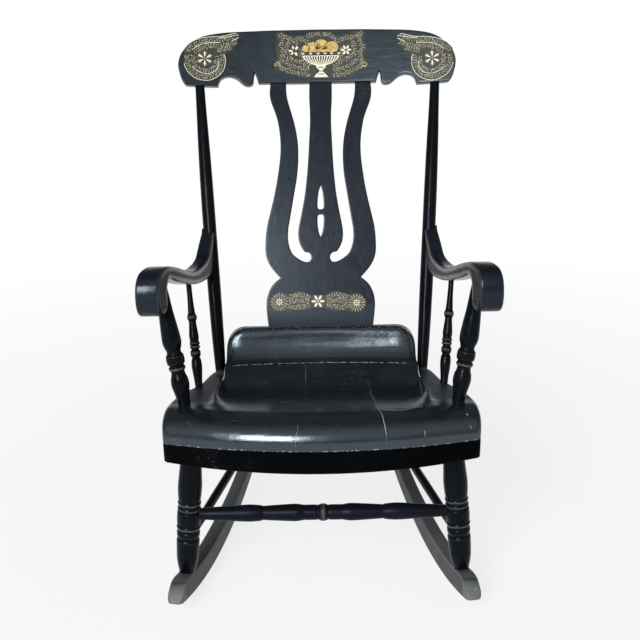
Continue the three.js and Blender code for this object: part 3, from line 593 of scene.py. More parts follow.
def turning(pose: Pose, table: Table, radius: float, below: float, above: float) -> Form:
    """A lathe turning: a profile of radii carried around the axis.

    A point stands at the axis plus the radius times the cosine and sine of its angle. Beads
    and edges, where the radius is greatest, count as exposed; their paler paint is partly rub
    wear and partly a painted highlight on the beads.

    Args:
        pose: where its axis runs.
        table: shares of length and of radius, from foot to head.
        radius: the greatest radius.
        below: how far it runs on below its foot.
        above: how far it runs on above its head.

    Returns:
        The form.
    """
    rows = max(int(pose.length), TURNING_ROWS)
    share = np.linspace(0, 1, rows + 1)
    size = rising(table, share) * radius
    height = np.concatenate([[-below], share * pose.length, [pose.length + above]])
    size = np.concatenate([size[:1], size, size[-1:]])
    angle = np.linspace(0, 2 * math.pi, TURNING_SIDES, endpoint=False)
    flat = size[:, None, None] * circle(angle)
    points = np.concatenate([flat, np.repeat(height, len(angle)).reshape(-1, len(angle), 1)], 2)
    local = np.convolve(size, np.ones(BEAD_ROWS) / BEAD_ROWS, mode="same")
    proud = np.clip(size - local, 0, None)
    end = BEAD_ROWS // 2 + 1
    proud[:end] = proud[-end:] = 0
    wear = (proud / max(proud.max(), 0.1)) ** 2
    return tube(pose.put(points), wear)


# Finishes


class Web:
    """The nodes of a material or a world, added and joined by short calls."""

    def __init__(self, owner: bpy.types.Material | bpy.types.World) -> None:
        """Starts an empty tree of nodes.

        Args:
            owner: the material or the world.
        """
        owner.use_nodes = True
        self.owner = owner
        self.tree = owner.node_tree
        self.tree.nodes.clear()

    def add(self, kind: str, inputs: dict | None = None, **settings: object) -> bpy.types.Node:
        """Adds a node.

        Args:
            kind: the node's type.
            inputs: by an input's name or number, its value or the output that is joined to it.
            settings: the node's own properties.

        Returns:
            The node.
        """
        node = self.tree.nodes.new(kind)
        for key, value in settings.items():
            setattr(node, key, value)
        for key, value in (inputs or {}).items():
            if isinstance(value, Socket):
                self.tree.links.new(value, node.inputs[key])
            else:
                node.inputs[key].default_value = value
        return node

    def place(self, scale: Triple, turn: Triple = (0, 0, 0)) -> Socket:
        """Object coordinates through a mapping.

        Args:
            scale: the mapping's scale.
            turn: its rotation.

        Returns:
            The vector output.
        """
        inputs = {"Vector": self.add("ShaderNodeTexCoord").outputs["Object"]}
        inputs |= {"Scale": scale, "Rotation": turn}
        return self.add("ShaderNodeMapping", inputs).outputs["Vector"]

    def noise(self, vector: Socket, scale: float, detail: float, rough: float = 0.55) -> Socket:
        """A noise pattern, with a number of octaves and the share that each one keeps."""
        inputs = {"Vector": vector, "Scale": scale, "Detail": detail, "Roughness": rough}
        return self.add("ShaderNodeTexNoise", inputs).outputs["Fac"]

    def span(self, value: Socket, low: float, high: float, start: float, end: float) -> Socket:
        """Carries a value from one span to another, and holds it there.

        Args:
            value: the value's output.
            low: where the first span starts.
            high: where it ends.
            start: where the second span starts.
            end: where it ends.

        Returns:
            The value output.
        """
        names = ("Value", "From Min", "From Max", "To Min", "To Max")
        inputs = dict(zip(names, (value, low, high, start, end)))
        return self.add("ShaderNodeMapRange", inputs).outputs["Result"]

    def calc(self, kind: str, first: Socket | float, second: Socket | float) -> Socket:
        """The result of an operation on two values."""
        return self.add("ShaderNodeMath", {0: first, 1: second}, operation=kind).outputs["Value"]

    def blend(self, share: Socket, under: Socket | Triple, over: Socket | Triple) -> Socket:
        """A colour some share of the way from one colour to another.

        Args:
            share: how much of the second one shows.
            under: the first colour, or its output.
            over: the second colour, or its output.

        Returns:
            The colour output.
        """
        node = self.add("ShaderNodeMix", {"Factor": share}, data_type="RGBA")
        targets = [socket for socket in node.inputs if socket.type == "RGBA"]
        for target, colour in zip(targets, (under, over)):
            if isinstance(colour, Socket):
                self.tree.links.new(colour, target)
            else:
                target.default_value = (*colour, 1)
        return next(socket for socket in node.outputs if socket.type == "RGBA")

    def height(self, value: Socket, tall: float, strength: float, **under: Socket) -> Socket:
        """A bump some metres tall, on another bump if one is given as Normal."""
        inputs = {"Height": value, "Distance": tall, "Strength": strength, **under}
        return self.add("ShaderNodeBump", inputs).outputs["Normal"]

    def shade(self, colour: Socket, rough: Socket, normal: Socket, uniform: dict) -> None:
        """Ends a material in one shader.

        Args:
            colour: the base colour's output.
            rough: the roughness's output.
            normal: the normal's output.
            uniform: values of the shader's other inputs.
        """
        inputs = {"Base Color": colour, "Roughness": rough, "Normal": normal, **uniform}
        shader = self.add("ShaderNodeBsdfPrincipled", inputs)
        self.add("ShaderNodeOutputMaterial", {"Surface": shader.outputs["BSDF"]})


@dataclass(frozen=True)
class Paint:
    """Old black paint on wood, brushed, rubbed thin on its edges and flecked with dust.

    Attributes:
        name: the material's name.
        grain: the way its brush strokes run.
        deep: the colour of the thick paint.
        pale: the colour of the thin, faded paint.
        bare: the colour where it is rubbed or scratched through, and of the dust.
        dusty: the colour of half worn paint.
        tint: the colour of its gloss.
        rough: the least and greatest roughness.
        specular: the shader's specular level.
        stroke: the height of the brush strokes, in metres.
        hairs: the height of the marks of single hairs, in metres.
        ripple: the height of the uneven paint, in metres.
        rubbed: how much of the exposed edges is rubbed through.
        faded: how much of the half worn paint has turned grey. On the turnings' beads this
            grey is partly painted highlight, and on the rockers' tops it is painted sheen.
        matt: how much rougher it is where no one sits, at a wear of minus one.
        flecks: how much of it is flecked.
        scratches: how much of it is scratched.
    """

    name: str
    grain: Grain
    deep: Triple = (0.003, 0.0042, 0.0065)
    pale: Triple = (0.009, 0.012, 0.018)
    bare: Triple = (0.32, 0.32, 0.3)
    dusty: Triple = (0.13, 0.135, 0.14)
    tint: Triple = (0.72, 0.88, 1.0)
    rough: Pair = (0.26, 0.42)
    specular: float = 0.5
    stroke: float = 0.00035
    hairs: float = 0.00007
    ripple: float = 0.0002
    rubbed: float = 0.5
    faded: float = 0.0
    matt: float = 0.4
    flecks: float = 0.5
    scratches: float = 0.5

    def material(self) -> bpy.types.Material:
        """Builds the finish's nodes.

        Slow noise mixes the two paints. Noise stretched along the strokes gives the brush
        marks, in height and in roughness. The piece's own wear, broken up by noise, shows the
        rubbed edges, and the narrow bands where a stretched noise passes its middle are the
        scratches.

        Returns:
            The material.
        """
        web = Web(bpy.data.materials.new(self.name))
        even = web.place((1, 1, 1))
        along = web.place(self.grain.value)
        slow = web.noise(even, 9, 3)
        strokes = web.noise(along, 1.6, 4, 0.6)
        fine = web.noise(along, 7, 2)
        patches = web.noise(even, 34, 4, 0.6)
        broad, streaked = web.span(slow, 0.3, 0.7, 0, 0.6), web.span(strokes, 0.35, 0.7, 0, 0.4)
        tone = web.calc("ADD", broad, streaked)
        colour = web.blend(tone, self.deep, self.pale)
        own = web.add("ShaderNodeAttribute", attribute_name="wear").outputs["Fac"]
        colour = web.blend(web.span(own, 0.2, 0.6, 0, self.faded), colour, self.dusty)
        scatter = web.noise(even, 620, 2, 0.5)
        settled = web.span(patches, 0.45, 0.7, 0, self.flecks)
        dust = web.calc("MULTIPLY", web.span(scatter, 0.70, 0.76, 0, 1), settled)
        askew = web.place(tuple(2.2 * scale for scale in self.grain.value), (0.1, 0.2, 0.3))
        lines = web.noise(askew, 1.1, 1)
        band = web.calc("ABSOLUTE", web.calc("SUBTRACT", lines, 0.5), 0.0)
        thin = web.span(band, 0.0, 0.0035, 1, 0)
        gate = web.span(web.noise(even, 15, 2), 0.56, 0.68, 0, self.scratches)
        scratched = web.calc("MULTIPLY", thin, gate)
        broken = web.span(web.noise(even, 150, 4, 0.7), 0.3, 0.7, -0.4, 0.35)
        edge = web.span(web.calc("ADD", own, broken), 0.8, 0.95, 0, self.rubbed)
        dull = web.span(own, -1, 0, self.matt, 0)
        light = web.calc("MAXIMUM", web.calc("MAXIMUM", edge, dust), scratched)
        colour = web.blend(light, colour, self.bare)
        mottled = web.span(patches, 0.3, 0.7, 0, 0.4)
        spread = web.calc("ADD", web.span(strokes, 0.3, 0.7, 0, 0.6), mottled)
        rough = web.calc("ADD", web.span(spread, 0, 1, *self.rough), web.span(light, 0, 1, 0, 0.3))
        rough = web.calc("ADD", rough, dull)
        normal = web.height(slow, 0.0012, 0.25)
        for marks, tall in ((patches, self.ripple), (strokes, self.stroke), (fine, self.hairs)):
            normal = web.height(marks, tall, 1.0, Normal=normal)
        gloss = {"Specular IOR Level": self.specular, "Specular Tint": (*self.tint, 1)}
        web.shade(colour, rough, normal, gloss)
        return web.owner


@dataclass(frozen=True)
class Stencil:
    """Metal powder or cream paint laid through a stencil, worn so that the black shows.

    Attributes:
        name: the material's name.
        bright: the colour where it lies thick.
        dull: the colour where it lies thin.
        loss: how much of it is worn off.
        cell: the scale of its mottle.
        worn: the colour of the paint below.
    """

    name: str
    bright: Triple
    dull: Triple
    loss: float
    cell: float
    worn: Triple = (0.012, 0.015, 0.02)

    def material(self) -> bpy.types.Material:
        """Builds the finish's nodes: two colours by a mottle, and the black by finer noise.

        Returns:
            The material.
        """
        web = Web(bpy.data.materials.new(self.name))
        even = web.place((1, 1, 1))
        mottle = web.noise(even, self.cell, 3, 0.6)
        rubs = web.noise(even, self.cell * 2.2, 3, 0.6)
        colour = web.blend(web.span(mottle, 0.35, 0.65, 0, 1), self.dull, self.bright)
        gone = web.span(rubs, 0.72 - 0.35 * self.loss, 0.76 - 0.2 * self.loss, 0, 1)
        colour = web.blend(web.calc("MULTIPLY", gone, min(1.0, 2 * self.loss)), colour, self.worn)
        rough = web.span(mottle, 0.3, 0.7, 0.42, 0.62)
        normal = web.height(mottle, 0.0001, 0.6)
        web.shade(colour, rough, normal, {"Specular IOR Level": 0.35})
        return web.owner


@dataclass(frozen=True)
class Plain:
    """A hidden or small material, bare wood or steel, with its own grain.

    Attributes:
        name: the material's name.
        grain: the way its grain runs.
        dark: the darker colour.
        light: the lighter colour.
        rough: the least and greatest roughness.
        metallic: one for metal.
    """

    name: str
    grain: Grain
    dark: Triple
    light: Triple
    rough: Pair
    metallic: float = 0.0

    def material(self) -> bpy.types.Material:
        """Builds the finish's nodes: two colours and a bump by noise along the grain.

        Returns:
            The material.
        """
        web = Web(bpy.data.materials.new(self.name))
        along = web.place(self.grain.value)
        grain = web.noise(along, 9, 4, 0.6)
        colour = web.blend(web.span(grain, 0.3, 0.7, 0, 1), self.dark, self.light)
        rough = web.span(grain, 0.3, 0.7, *self.rough)
        web.shade(colour, rough, web.height(grain, 0.0002, 0.5), {"Metallic": self.metallic})
        return web.owner


class Finishes:
    """All finishes of the chair, built once."""

    def __init__(self) -> None:
        """Builds each material from its values."""
        across, up, back = Grain.ACROSS, Grain.UPWARD, Grain.BACKWARD
        self.back = Paint(
            "back_paint", across, pale=(0.012, 0.018, 0.024),
            rough=(0.26, 0.4), specular=0.52, flecks=0.25, rubbed=0.2,
        ).material()
        self.splat = Paint(
            "splat_paint", up, deep=(0.006, 0.007, 0.011), pale=(0.012, 0.014, 0.022),
            rough=(0.2, 0.29), specular=0.24, stroke=0.00012, hairs=0.00003, ripple=0.00005,
            flecks=0.2, rubbed=0.3,
        ).material()
        self.seat = Paint(
            "seat_paint", across, deep=(0.005, 0.0068, 0.009), pale=(0.0105, 0.0142, 0.0195),
            rough=(0.12, 0.25), specular=0.9, stroke=0.0002, hairs=0.00014, ripple=0.0005,
            flecks=0.9, scratches=1.0, rubbed=1.0,
        ).material()
        # Much darker than the seat's own black: painted shade under the seat's nose.
        self.block = Paint(
            "block_painted_shade", across, deep=(0.0006, 0.0007, 0.0009), pale=(0.0018, 0.0022, 0.0028),
            rough=(0.4, 0.55), specular=0.012, flecks=0.3, rubbed=0.8,
        ).material()
        self.arms = Paint(
            "arm_paint", back,
            rough=(0.15, 0.28), specular=0.26, faded=0.12, flecks=0.05, scratches=0.0, rubbed=0.6,
        ).material()
        # The greyed bead crests of the turnings are partly rub wear and partly painted highlight.
        self.turned = Paint(
            "turned_paint", up, deep=(0.0018, 0.0022, 0.003), pale=(0.005, 0.006, 0.008),
            rough=(0.14, 0.28), specular=0.07, faded=0.34, flecks=0.2, scratches=0.0, rubbed=0.16,
        ).material()
        self.bars = Paint(
            "bar_paint", across, deep=(0.002, 0.0025, 0.004), pale=(0.006, 0.008, 0.012),
            rough=(0.3, 0.45), specular=0.09, faded=0.15, flecks=0.2, scratches=0.1, rubbed=0.16,
        ).material()
        # Its faded grey also paints a sheen of light on the band along the rockers' tops.
        self.rockers = Paint(
            "rocker_paint", back, deep=(0.0115, 0.0126, 0.0138), pale=(0.0345, 0.0368, 0.0402),
            rough=(0.4, 0.56), specular=0.27, faded=1.0, flecks=0.3, scratches=0.25, rubbed=0.9,
        ).material()
        self.bronze = Stencil(
            "bronze_powder", (0.46, 0.45, 0.31), (0.19, 0.18, 0.115), 0.4, 240
        ).material()
        self.ground = Stencil(
            "bronze_ground", (0.05, 0.048, 0.036), (0.02, 0.02, 0.016), 0.5, 300
        ).material()
        self.cream = Stencil(
            "cream_paint", (0.82, 0.8, 0.66), (0.62, 0.6, 0.46), 0.12, 420
        ).material()
        self.amber = Stencil(
            "amber_paint", (0.62, 0.47, 0.15), (0.4, 0.27, 0.07), 0.1, 110
        ).material()
        self.shade = Stencil(
            "stencil_shadow", (0.05, 0.035, 0.02), (0.016, 0.013, 0.012), 0.3, 420
        ).material()
        # The pale colour of the split edges, and of the painted highlight streaks on the seat.
        self.crack = Stencil(
            "open_crack", (0.42, 0.42, 0.38), (0.2, 0.2, 0.18), 0.2, 500
        ).material()
        self.wood = Plain(
            "hidden_hardwood", up, (0.22, 0.13, 0.06), (0.42, 0.28, 0.14), (0.6, 0.8)
        ).material()
        self.steel = Plain(
            "hidden_steel", back, (0.2, 0.2, 0.19), (0.42, 0.41, 0.4), (0.3, 0.5), 1.0
        ).material()


@dataclass(frozen=True)
class Workshop:
    """Turns forms into pieces that ride on the frame.

    Attributes:
        shift: what carries a depth of the chair's own measures to the frame's, in millimetres.
    """

    shift: float

    def frame(self, points: Array) -> Array:
        """Millimetres in the chair's own measures, carried to metres in the frame."""
        return (points + np.array([0, self.shift, 0])) * MILLIMETRE

    def piece(
        self,
        name: str,
        form: Form,
        finish: bpy.types.Material,
        stands_for: Optional[str] = None,
        crease: float = 38,
    ) -> bpy.types.Object:
        """Makes a form a finished piece.

        Args:
            name: the piece's name.
            form: its closed form.
            finish: its material.
            stands_for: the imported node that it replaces.
            crease: the least angle of a sharp edge, in degrees.

        Returns:
            The piece.
        """
        mesh = bpy.data.meshes.new(name)
        mesh.from_pydata(self.frame(form.points).tolist(), [], form.faces)
        mesh.update()
        wear = mesh.attributes.new("wear", "FLOAT", "POINT")
        wear.data.foreach_set("value", form.wear.astype(np.float32))
        mesh.polygons.foreach_set("use_smooth", np.ones(len(mesh.polygons), bool))
        mesh.set_sharp_from_angle(angle=math.radians(crease))
        mesh.materials.append(finish)
        item = bpy.data.objects.new(name, mesh)
        bpy.context.scene.collection.objects.link(item)
        if stands_for is not None:
            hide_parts(stands_for)
        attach(item, BODY)
        LOG.info("%s: %d points, %d faces", name, len(form.points), len(form.faces))
        return item


# Seat


@dataclass
class Seat:
    """The rolled plank seat: its dished plank, the block under its front and the rear roll."""

    half_width: float = 282.5
    depth: float = 432.0
    front_bow: float = 57.0
    corner_top: float = 423.5
    thickness: float = 55.6
    slope: float = math.tan(math.radians(7))
    nose_height: float = 8.0
    nose_depth: float = 64.0
    dish_depth: float = 27.0
    dish_start: float = 10.0
    well_gap: float = 6.0
    front_ramp: float = 50.0
    rear_ramp: float = 5.0
    well_start: float = 70.0
    well_fall: float = 0.0844
    outer_fall: float = 0.04
    edge: float = 9.0
    block_bottom: float = 328.0
    block_rear: float = 36.0
    block_tuck: float = 4.0
    roll_half_width: float = 197.0
    roll_front: float = 362.0
    roll_top: float = 440.5
    roll_curve: float = 19.0
    roll_corner: float = 38.0
    nose_rows: int = 22
    rear_rows: int = 84
    dish_columns: int = 36
    side_columns: int = 12
    turn_columns: int = 8
    wander: float = 0.16
    # The width of each split, and the places that it passes, across and back. Two rows are no
    # split but painted highlight streaks on the seat.
    splits: tuple[tuple[float, Table], ...] = (
        (0.6, ((92, 300), (94.5, 250), (95.5, 190), (96.2, 131), (97.5, 70), (99, 22))),
        (
            1.15,
            ((99, 22), (102, 5), (105, -9), (107, -24), (109, -36), (110.5, -44), (111.2, -48.15)),
        ),
        (0.6, ((-40.6, -34), (-41.6, -42), (-43, -48), (-44.5, -53), (-45.4, -55.5))),
        (0.42, ((-32, 358), (-32.5, 330), (-32.5, 287))),
        # painted highlight: a bright reflection streak beside the front split, drawn as a pale
        # line
        (0.5, ((108, 14), (128, 10), (150, 14), (166, 23))),
        (1.8, ((255, 16.5), (257, 14.5), (258.5, 13.3))),
        (1.7, ((260.5, -1.5), (261.5, -3), (262.5, -4))),
        (1.5, ((177.6, -28.5), (178.5, -31), (179, -32.8))),
        (1.0, ((-214, 352), (-212, 330), (-208.5, 300), (-209, 262))),
        # painted highlight along the right wall of the dish, drawn as a pale line
        (0.45, ((196.5, 300), (194, 240), (190, 170), (184, 90), (176, 20))),
    )
    outline_table: Table = (
        (0, 0.985), (0.015, 0.995), (0.05, 1), (0.12, 0.998), (0.23, 0.992), (0.35, 0.976),
        (0.46, 0.944), (0.58, 0.897), (0.69, 0.861), (0.82, 0.847), (0.93, 0.832), (0.975, 0.818),
        (1, 0.79),
    )
    roll_front_table: Table = (
        (0, 0), (0.05, 0.12), (0.13, 0.25), (0.22, 0.335), (0.3, 0.4), (0.48, 0.5), (0.68, 0.57),
        (0.85, 0.612), (0.93, 0.645), (0.975, 0.69),
    )

    def blank_top(self, depth: Array) -> Array:
        """The top of the sawn blank: the corner's height less the slope times the depth."""
        return self.corner_top - depth * self.slope

    def underside(self, depth: Array) -> Array:
        """The underside: the blank's top less its thickness."""
        return self.blank_top(depth) - self.thickness

    def width_at(self, depth: Array) -> Array:
        """Half the width at a depth."""
        return self.half_width * rising(self.outline_table, np.clip(depth / self.depth, 0, 1))

    def front_at(self, share: Array) -> Array:
        """The depth of the bowed front edge, a parabola over the share of half width."""
        return self.front_bow * (share * share - 1)

    def roll_front_at(self, x: Array) -> Array:
        """The depth of the rear roll's front, curved forward towards its ends."""
        return self.roll_front - self.roll_curve * (x / self.roll_half_width) ** 2

    @property
    def well_edge(self) -> float:
        """How far out the dish ends and the flat corners beside the roll start."""
        return self.roll_half_width + self.well_gap

    def back_share(self, depth: Array) -> Array:
        """How far back in the dish a depth is, before the roll's curve."""
        return np.clip((depth - self.dish_start) / (self.roll_front - self.dish_start), 0, 1)

    def top(self, x: Array, depth: Array, front: Array) -> Array:
        """The height of the seat's top.

        It is the blank, less the dish, which follows the sine of pi times the squared share of
        the way back, less the fall of the sides and less the quarter ellipse of the nose. A
        smooth step across the ramp carries the dish over into the sides.

        Args:
            x: how far across.
            depth: how far back.
            front: the depth of the front edge there.

        Returns:
            The heights.
        """
        side = np.abs(x)
        back = (depth - self.dish_start) / (self.roll_front_at(x) - self.dish_start)
        back = np.clip(back, 0, 1)
        ramp = mix(self.front_ramp, self.rear_ramp, back)
        blend = smoothstep(side, self.well_edge - ramp, self.well_edge)
        dish = self.dish_depth * np.sin(math.pi * back * back)
        well = self.well_fall * np.maximum(depth - self.well_start, 0)
        fall = self.outer_fall * np.maximum(side - self.well_edge, 0)
        ahead = np.clip((depth - front) / self.nose_depth, 0, 1)
        drop = self.thickness - self.nose_height
        nose = drop * (1 - np.sqrt(np.clip(1 - (1 - ahead) ** 2, 0, 1)))
        return self.blank_top(depth) - mix(dish, well, blend) - fall - nose

    def columns(self, depth: Array) -> Array:
        """How far across each column stands, crowded on the ramp and at the edge.

        From the middle out, even shares of the dish, the ramp and the side, and then the sine
        of even angles for the turned edge.

        Args:
            depth: the depth of each row or grid point.

        Returns:
            The distances across, as [row, column].
        """
        inner = self.well_edge - mix(self.front_ramp, self.rear_ramp, self.back_share(depth))
        width = self.width_at(np.maximum(depth, 0))
        steps = (self.dish_columns, self.side_columns, self.side_columns, self.turn_columns - 1)
        number = np.arange(-sum(steps), sum(steps) + 1)
        starts = np.cumsum((0, *steps[:-1]))
        dish, ramp, side, turn = (
            np.clip((np.abs(number) - start) / count, 0, 1) for start, count in zip(starts, steps)
        )
        reach = inner * dish + (self.well_edge - inner) * ramp
        reach = reach + (width - self.edge - self.well_edge) * side
        return np.sign(number) * (reach + self.edge * np.sin(turn * math.pi / 2))

    def plank(self) -> Form:
        """The dished plank: a top sheet and a flat underside, their rims stitched.

        Rows run from the bowed front edge, crowded on its nose, to the rear. The sides turn
        down as a quarter circle. The edge of the dish, the nose's lower edge and the rims are
        rubbed, and the corners that no one sits on stay matt.

        Returns:
            The form.
        """
        rear_ease, rim_drop, least = 4, 3, 2
        nose = np.linspace(0, 1, self.nose_rows)[:, None] ** 2 * self.nose_depth
        behind = np.linspace(0, 1, self.rear_rows)[1:, None]
        guess = np.concatenate([nose, mix(self.nose_depth, self.depth, behind)])
        across = self.columns(np.maximum(guess - self.front_bow / 2, 0))
        front = self.front_at(across / across[:, -1:])
        ahead, rest = front[: self.nose_rows], front[self.nose_rows :]
        depth = np.concatenate([ahead + nose, mix(rest + self.nose_depth, self.depth, behind)])
        x = self.columns(depth)
        side = np.abs(x)
        rounded = np.clip(1 - (self.width_at(depth) - side) / self.edge, 0, 1)
        turned = self.edge * eased(rounded)
        rear = np.clip(1 - (self.depth - depth) / rear_ease, 0, 1)
        low = self.underside(depth)
        top = self.top(x, depth, front) - turned - rim_drop * eased(rear)
        top = np.maximum(top, low + least)
        lift = rim_drop * eased(np.clip(rounded * 3 - 2, 0, 1))
        near = spots(x, depth, top)
        far = spots(x, depth, low + lift)
        back = self.back_share(depth)
        ridge = np.exp(-(((side - self.well_edge + mix(30, 1, back)) / mix(9, 3, back)) ** 2))
        ridge *= smoothstep(depth, 60, 140)
        lip = (top - low < self.nose_height + 0.2) * (depth < front + 6)
        unused = smoothstep(side, self.well_edge - 8, self.well_edge + 8)
        unused = unused * smoothstep(depth, 40, 110)
        wear = np.clip(0.62 * ridge + 0.1 * lip + 0.35 * rounded + 0.6 * rear, 0, 1)
        seam = np.clip(0.82 * lip + 0.35 * (rounded > 0.9), 0, 0.82)
        return slab(near, far, wear - unused * (1 - np.minimum(2 * wear, 1)), seam)

    def block(self) -> Form:
        """The block under the front edge, its lower edge eased.

        Its front follows the bow and tucks in by the square of the share down.

        Returns:
            The form.
        """
        share = np.linspace(-1, 1, 121)[None, :]
        down = np.linspace(0, 1, 15)[:, None]
        ease, corner, seat_gap = 4.5, 3.0, 0.4
        front = self.front_at(share) + self.block_tuck * down**2 + 1.2
        height = mix(self.underside(front) - seat_gap, self.block_bottom, down)
        low = np.clip(1 - (height - self.block_bottom) / ease, 0, 1)
        turn = eased(low)
        width = self.half_width - 2.0 - 1.5 * turn
        x = share * width
        bend = np.clip((np.abs(x) - width + corner) / corner, 0, 1)
        front = front + ease * turn + corner * eased(bend)
        rear = np.full_like(x, self.block_rear)
        wide = share * (self.width_at(np.full(1, self.block_rear)) - 1.2) + 0 * x
        level = mix(self.underside(rear) - seat_gap, self.block_bottom, down)
        wear = np.clip(0.55 * (down < 0.05) + 0.5 * low + 0 * share, 0, 1)
        near, far = spots(x, front, height), spots(wide, rear, level)
        return slab(near, far, wear, np.zeros_like(wear))

    def roll(self) -> Form:
        """The rear roll: a hollow front, a round top and a leaning rear, its ends rounded.

        Its section is a table of height against the share of the way back. The top comes down
        at both ends as a quarter circle.

        Returns:
            The form.
        """
        turn_start = self.roll_half_width - self.roll_corner
        inner = np.linspace(0, turn_start, 44, endpoint=False)
        outer = turn_start + self.roll_corner * np.sin(np.linspace(0, math.pi / 2, 16))
        half = np.concatenate([inner, outer])
        x = np.concatenate([-half[:0:-1], half])[None, :]
        in_turn = np.clip((np.abs(x) - turn_start) / self.roll_corner, 0, 1)
        top = self.roll_top - self.roll_corner * eased(in_turn)
        front_rise = np.linspace(0, 0.975, 40)
        front_back = rising(self.roll_front_table, front_rise)
        over = np.linspace(0, math.pi, 12)[1:]
        over_back = 0.69 + 0.185 * (1 - np.cos(over))
        over_rise = 0.975 + 0.025 * np.sin(over) - 0.03 * (over / math.pi) ** 2
        back = np.concatenate([front_back, over_back])[:, None]
        rise = np.concatenate([front_rise, over_rise])[:, None]
        curve = self.roll_front_at(x) - self.roll_front
        depth = mix(self.roll_front, self.depth, back) + curve * (1 - rise / 2)
        sunk = 1.0
        floor = self.blank_top(depth) - sunk
        near = spots(x + 0 * depth, depth, mix(floor, top, rise))
        rear_rise = np.linspace(0, 0.945, len(back))[:, None]
        rear_back = 1 + 0.08 * np.sin(rear_rise * math.pi * 0.62)
        rear_depth = mix(self.roll_front, self.depth, rear_back) + 0 * x
        rear_floor = self.blank_top(rear_depth) - sunk
        far = spots(x + 0 * rear_depth, rear_depth, mix(rear_floor, top, rear_rise))
        rim = smoothstep(rise, 0.93, 0.985)
        foot = 1 - smoothstep(rise, 0.02, 0.075)
        wear = np.clip(0.68 * rim + 0.92 * foot + 0.3 * in_turn * rim, 0, 1) + 0 * x
        return slab(near, far, wear, np.zeros_like(wear))

    def on_top(self, x: Array, depth: Array) -> Array:
        """Finds points of the seat's top, none of them ahead of its front edge.

        Args:
            x: how far across.
            depth: how far back.

        Returns:
            The points.
        """
        front = self.front_at(x / self.half_width)
        held = np.maximum(depth, front + 0.02)
        return spots(x, held, self.top(x, held, front))

    def strip(self, path: Array, width: Array) -> Form:
        """A thin sliver that lies on the seat along a path, for the pale edge of a split, and for
        a painted highlight streak.

        It stands off along the surface's normal, the product of its slopes across and back.

        Args:
            path: places across and back, one row each.
            width: its width at each place.

        Returns:
            The form, a fraction of a millimetre proud of the paint.
        """
        way = np.gradient(path, axis=0)
        way /= np.linalg.norm(way, axis=1)[:, None]
        normal = np.stack([-way[:, 1], way[:, 0]], axis=1)
        across = np.array([-0.5, 0.0, 0.5])[None, :, None]
        flat = path[:, None, :] + normal[:, None, :] * across * width[:, None, None]
        x, depth = flat[..., 0], flat[..., 1]
        step = 0.05
        aside = self.on_top(x + step, depth) - self.on_top(x - step, depth)
        back = self.on_top(x, depth + step) - self.on_top(x, depth)
        out = np.cross(aside, back)
        out /= np.linalg.norm(out, axis=-1)[..., None]
        middle = self.on_top(x, depth)
        bare = np.zeros(x.shape)
        return slab(middle + 0.22 * out, middle - 0.5 * out, bare, bare)

    def cracks_and_highlights(self, random: np.random.Generator) -> Form:
        """The seat's split lines and chips, and two painted highlight streaks drawn the same way,
        each a crooked path with tapered ends.

        Args:
            random: the source of their wander.

        Returns:
            All of them in one form.
        """
        forms = []
        for width, points in self.splits:
            path = spline(np.array(points, float), spacing=0.7)
            wander = np.cumsum(random.normal(0, self.wander, len(path)))
            wander -= np.linspace(wander[0], wander[-1], len(path))
            path[:, 0] += wander
            share = np.linspace(0, 1, len(path))
            taper = np.clip(np.sin(math.pi * share), 0, 1) ** 0.45 + 0.1
            knots = np.linspace(0, 1, max(len(path) // 8, 3))
            uneven = np.interp(share, knots, random.uniform(0.25, 1.3, len(knots)))
            forms.append(self.strip(path, width * taper * uneven))
        whole = forms[0]
        for form in forms[1:]:
            whole = whole.merged(form)
        return whole

    def build(self, shop: Workshop, finishes: Finishes) -> None:
        """Makes the seat's pieces.

        Args:
            shop: makes pieces of forms.
            finishes: the materials.
        """
        shop.piece("dished_plank", self.plank(), finishes.seat, "seat_plank", crease=50)
        shop.piece("front_block", self.block(), finishes.block, "seat_front_roll", crease=50)
        shop.piece("back_roll", self.roll(), finishes.seat, "seat_rear_roll", crease=50)
        random = np.random.default_rng(SEED)
        shop.piece("seat_splits", self.cracks_and_highlights(random), finishes.crack)


# Back


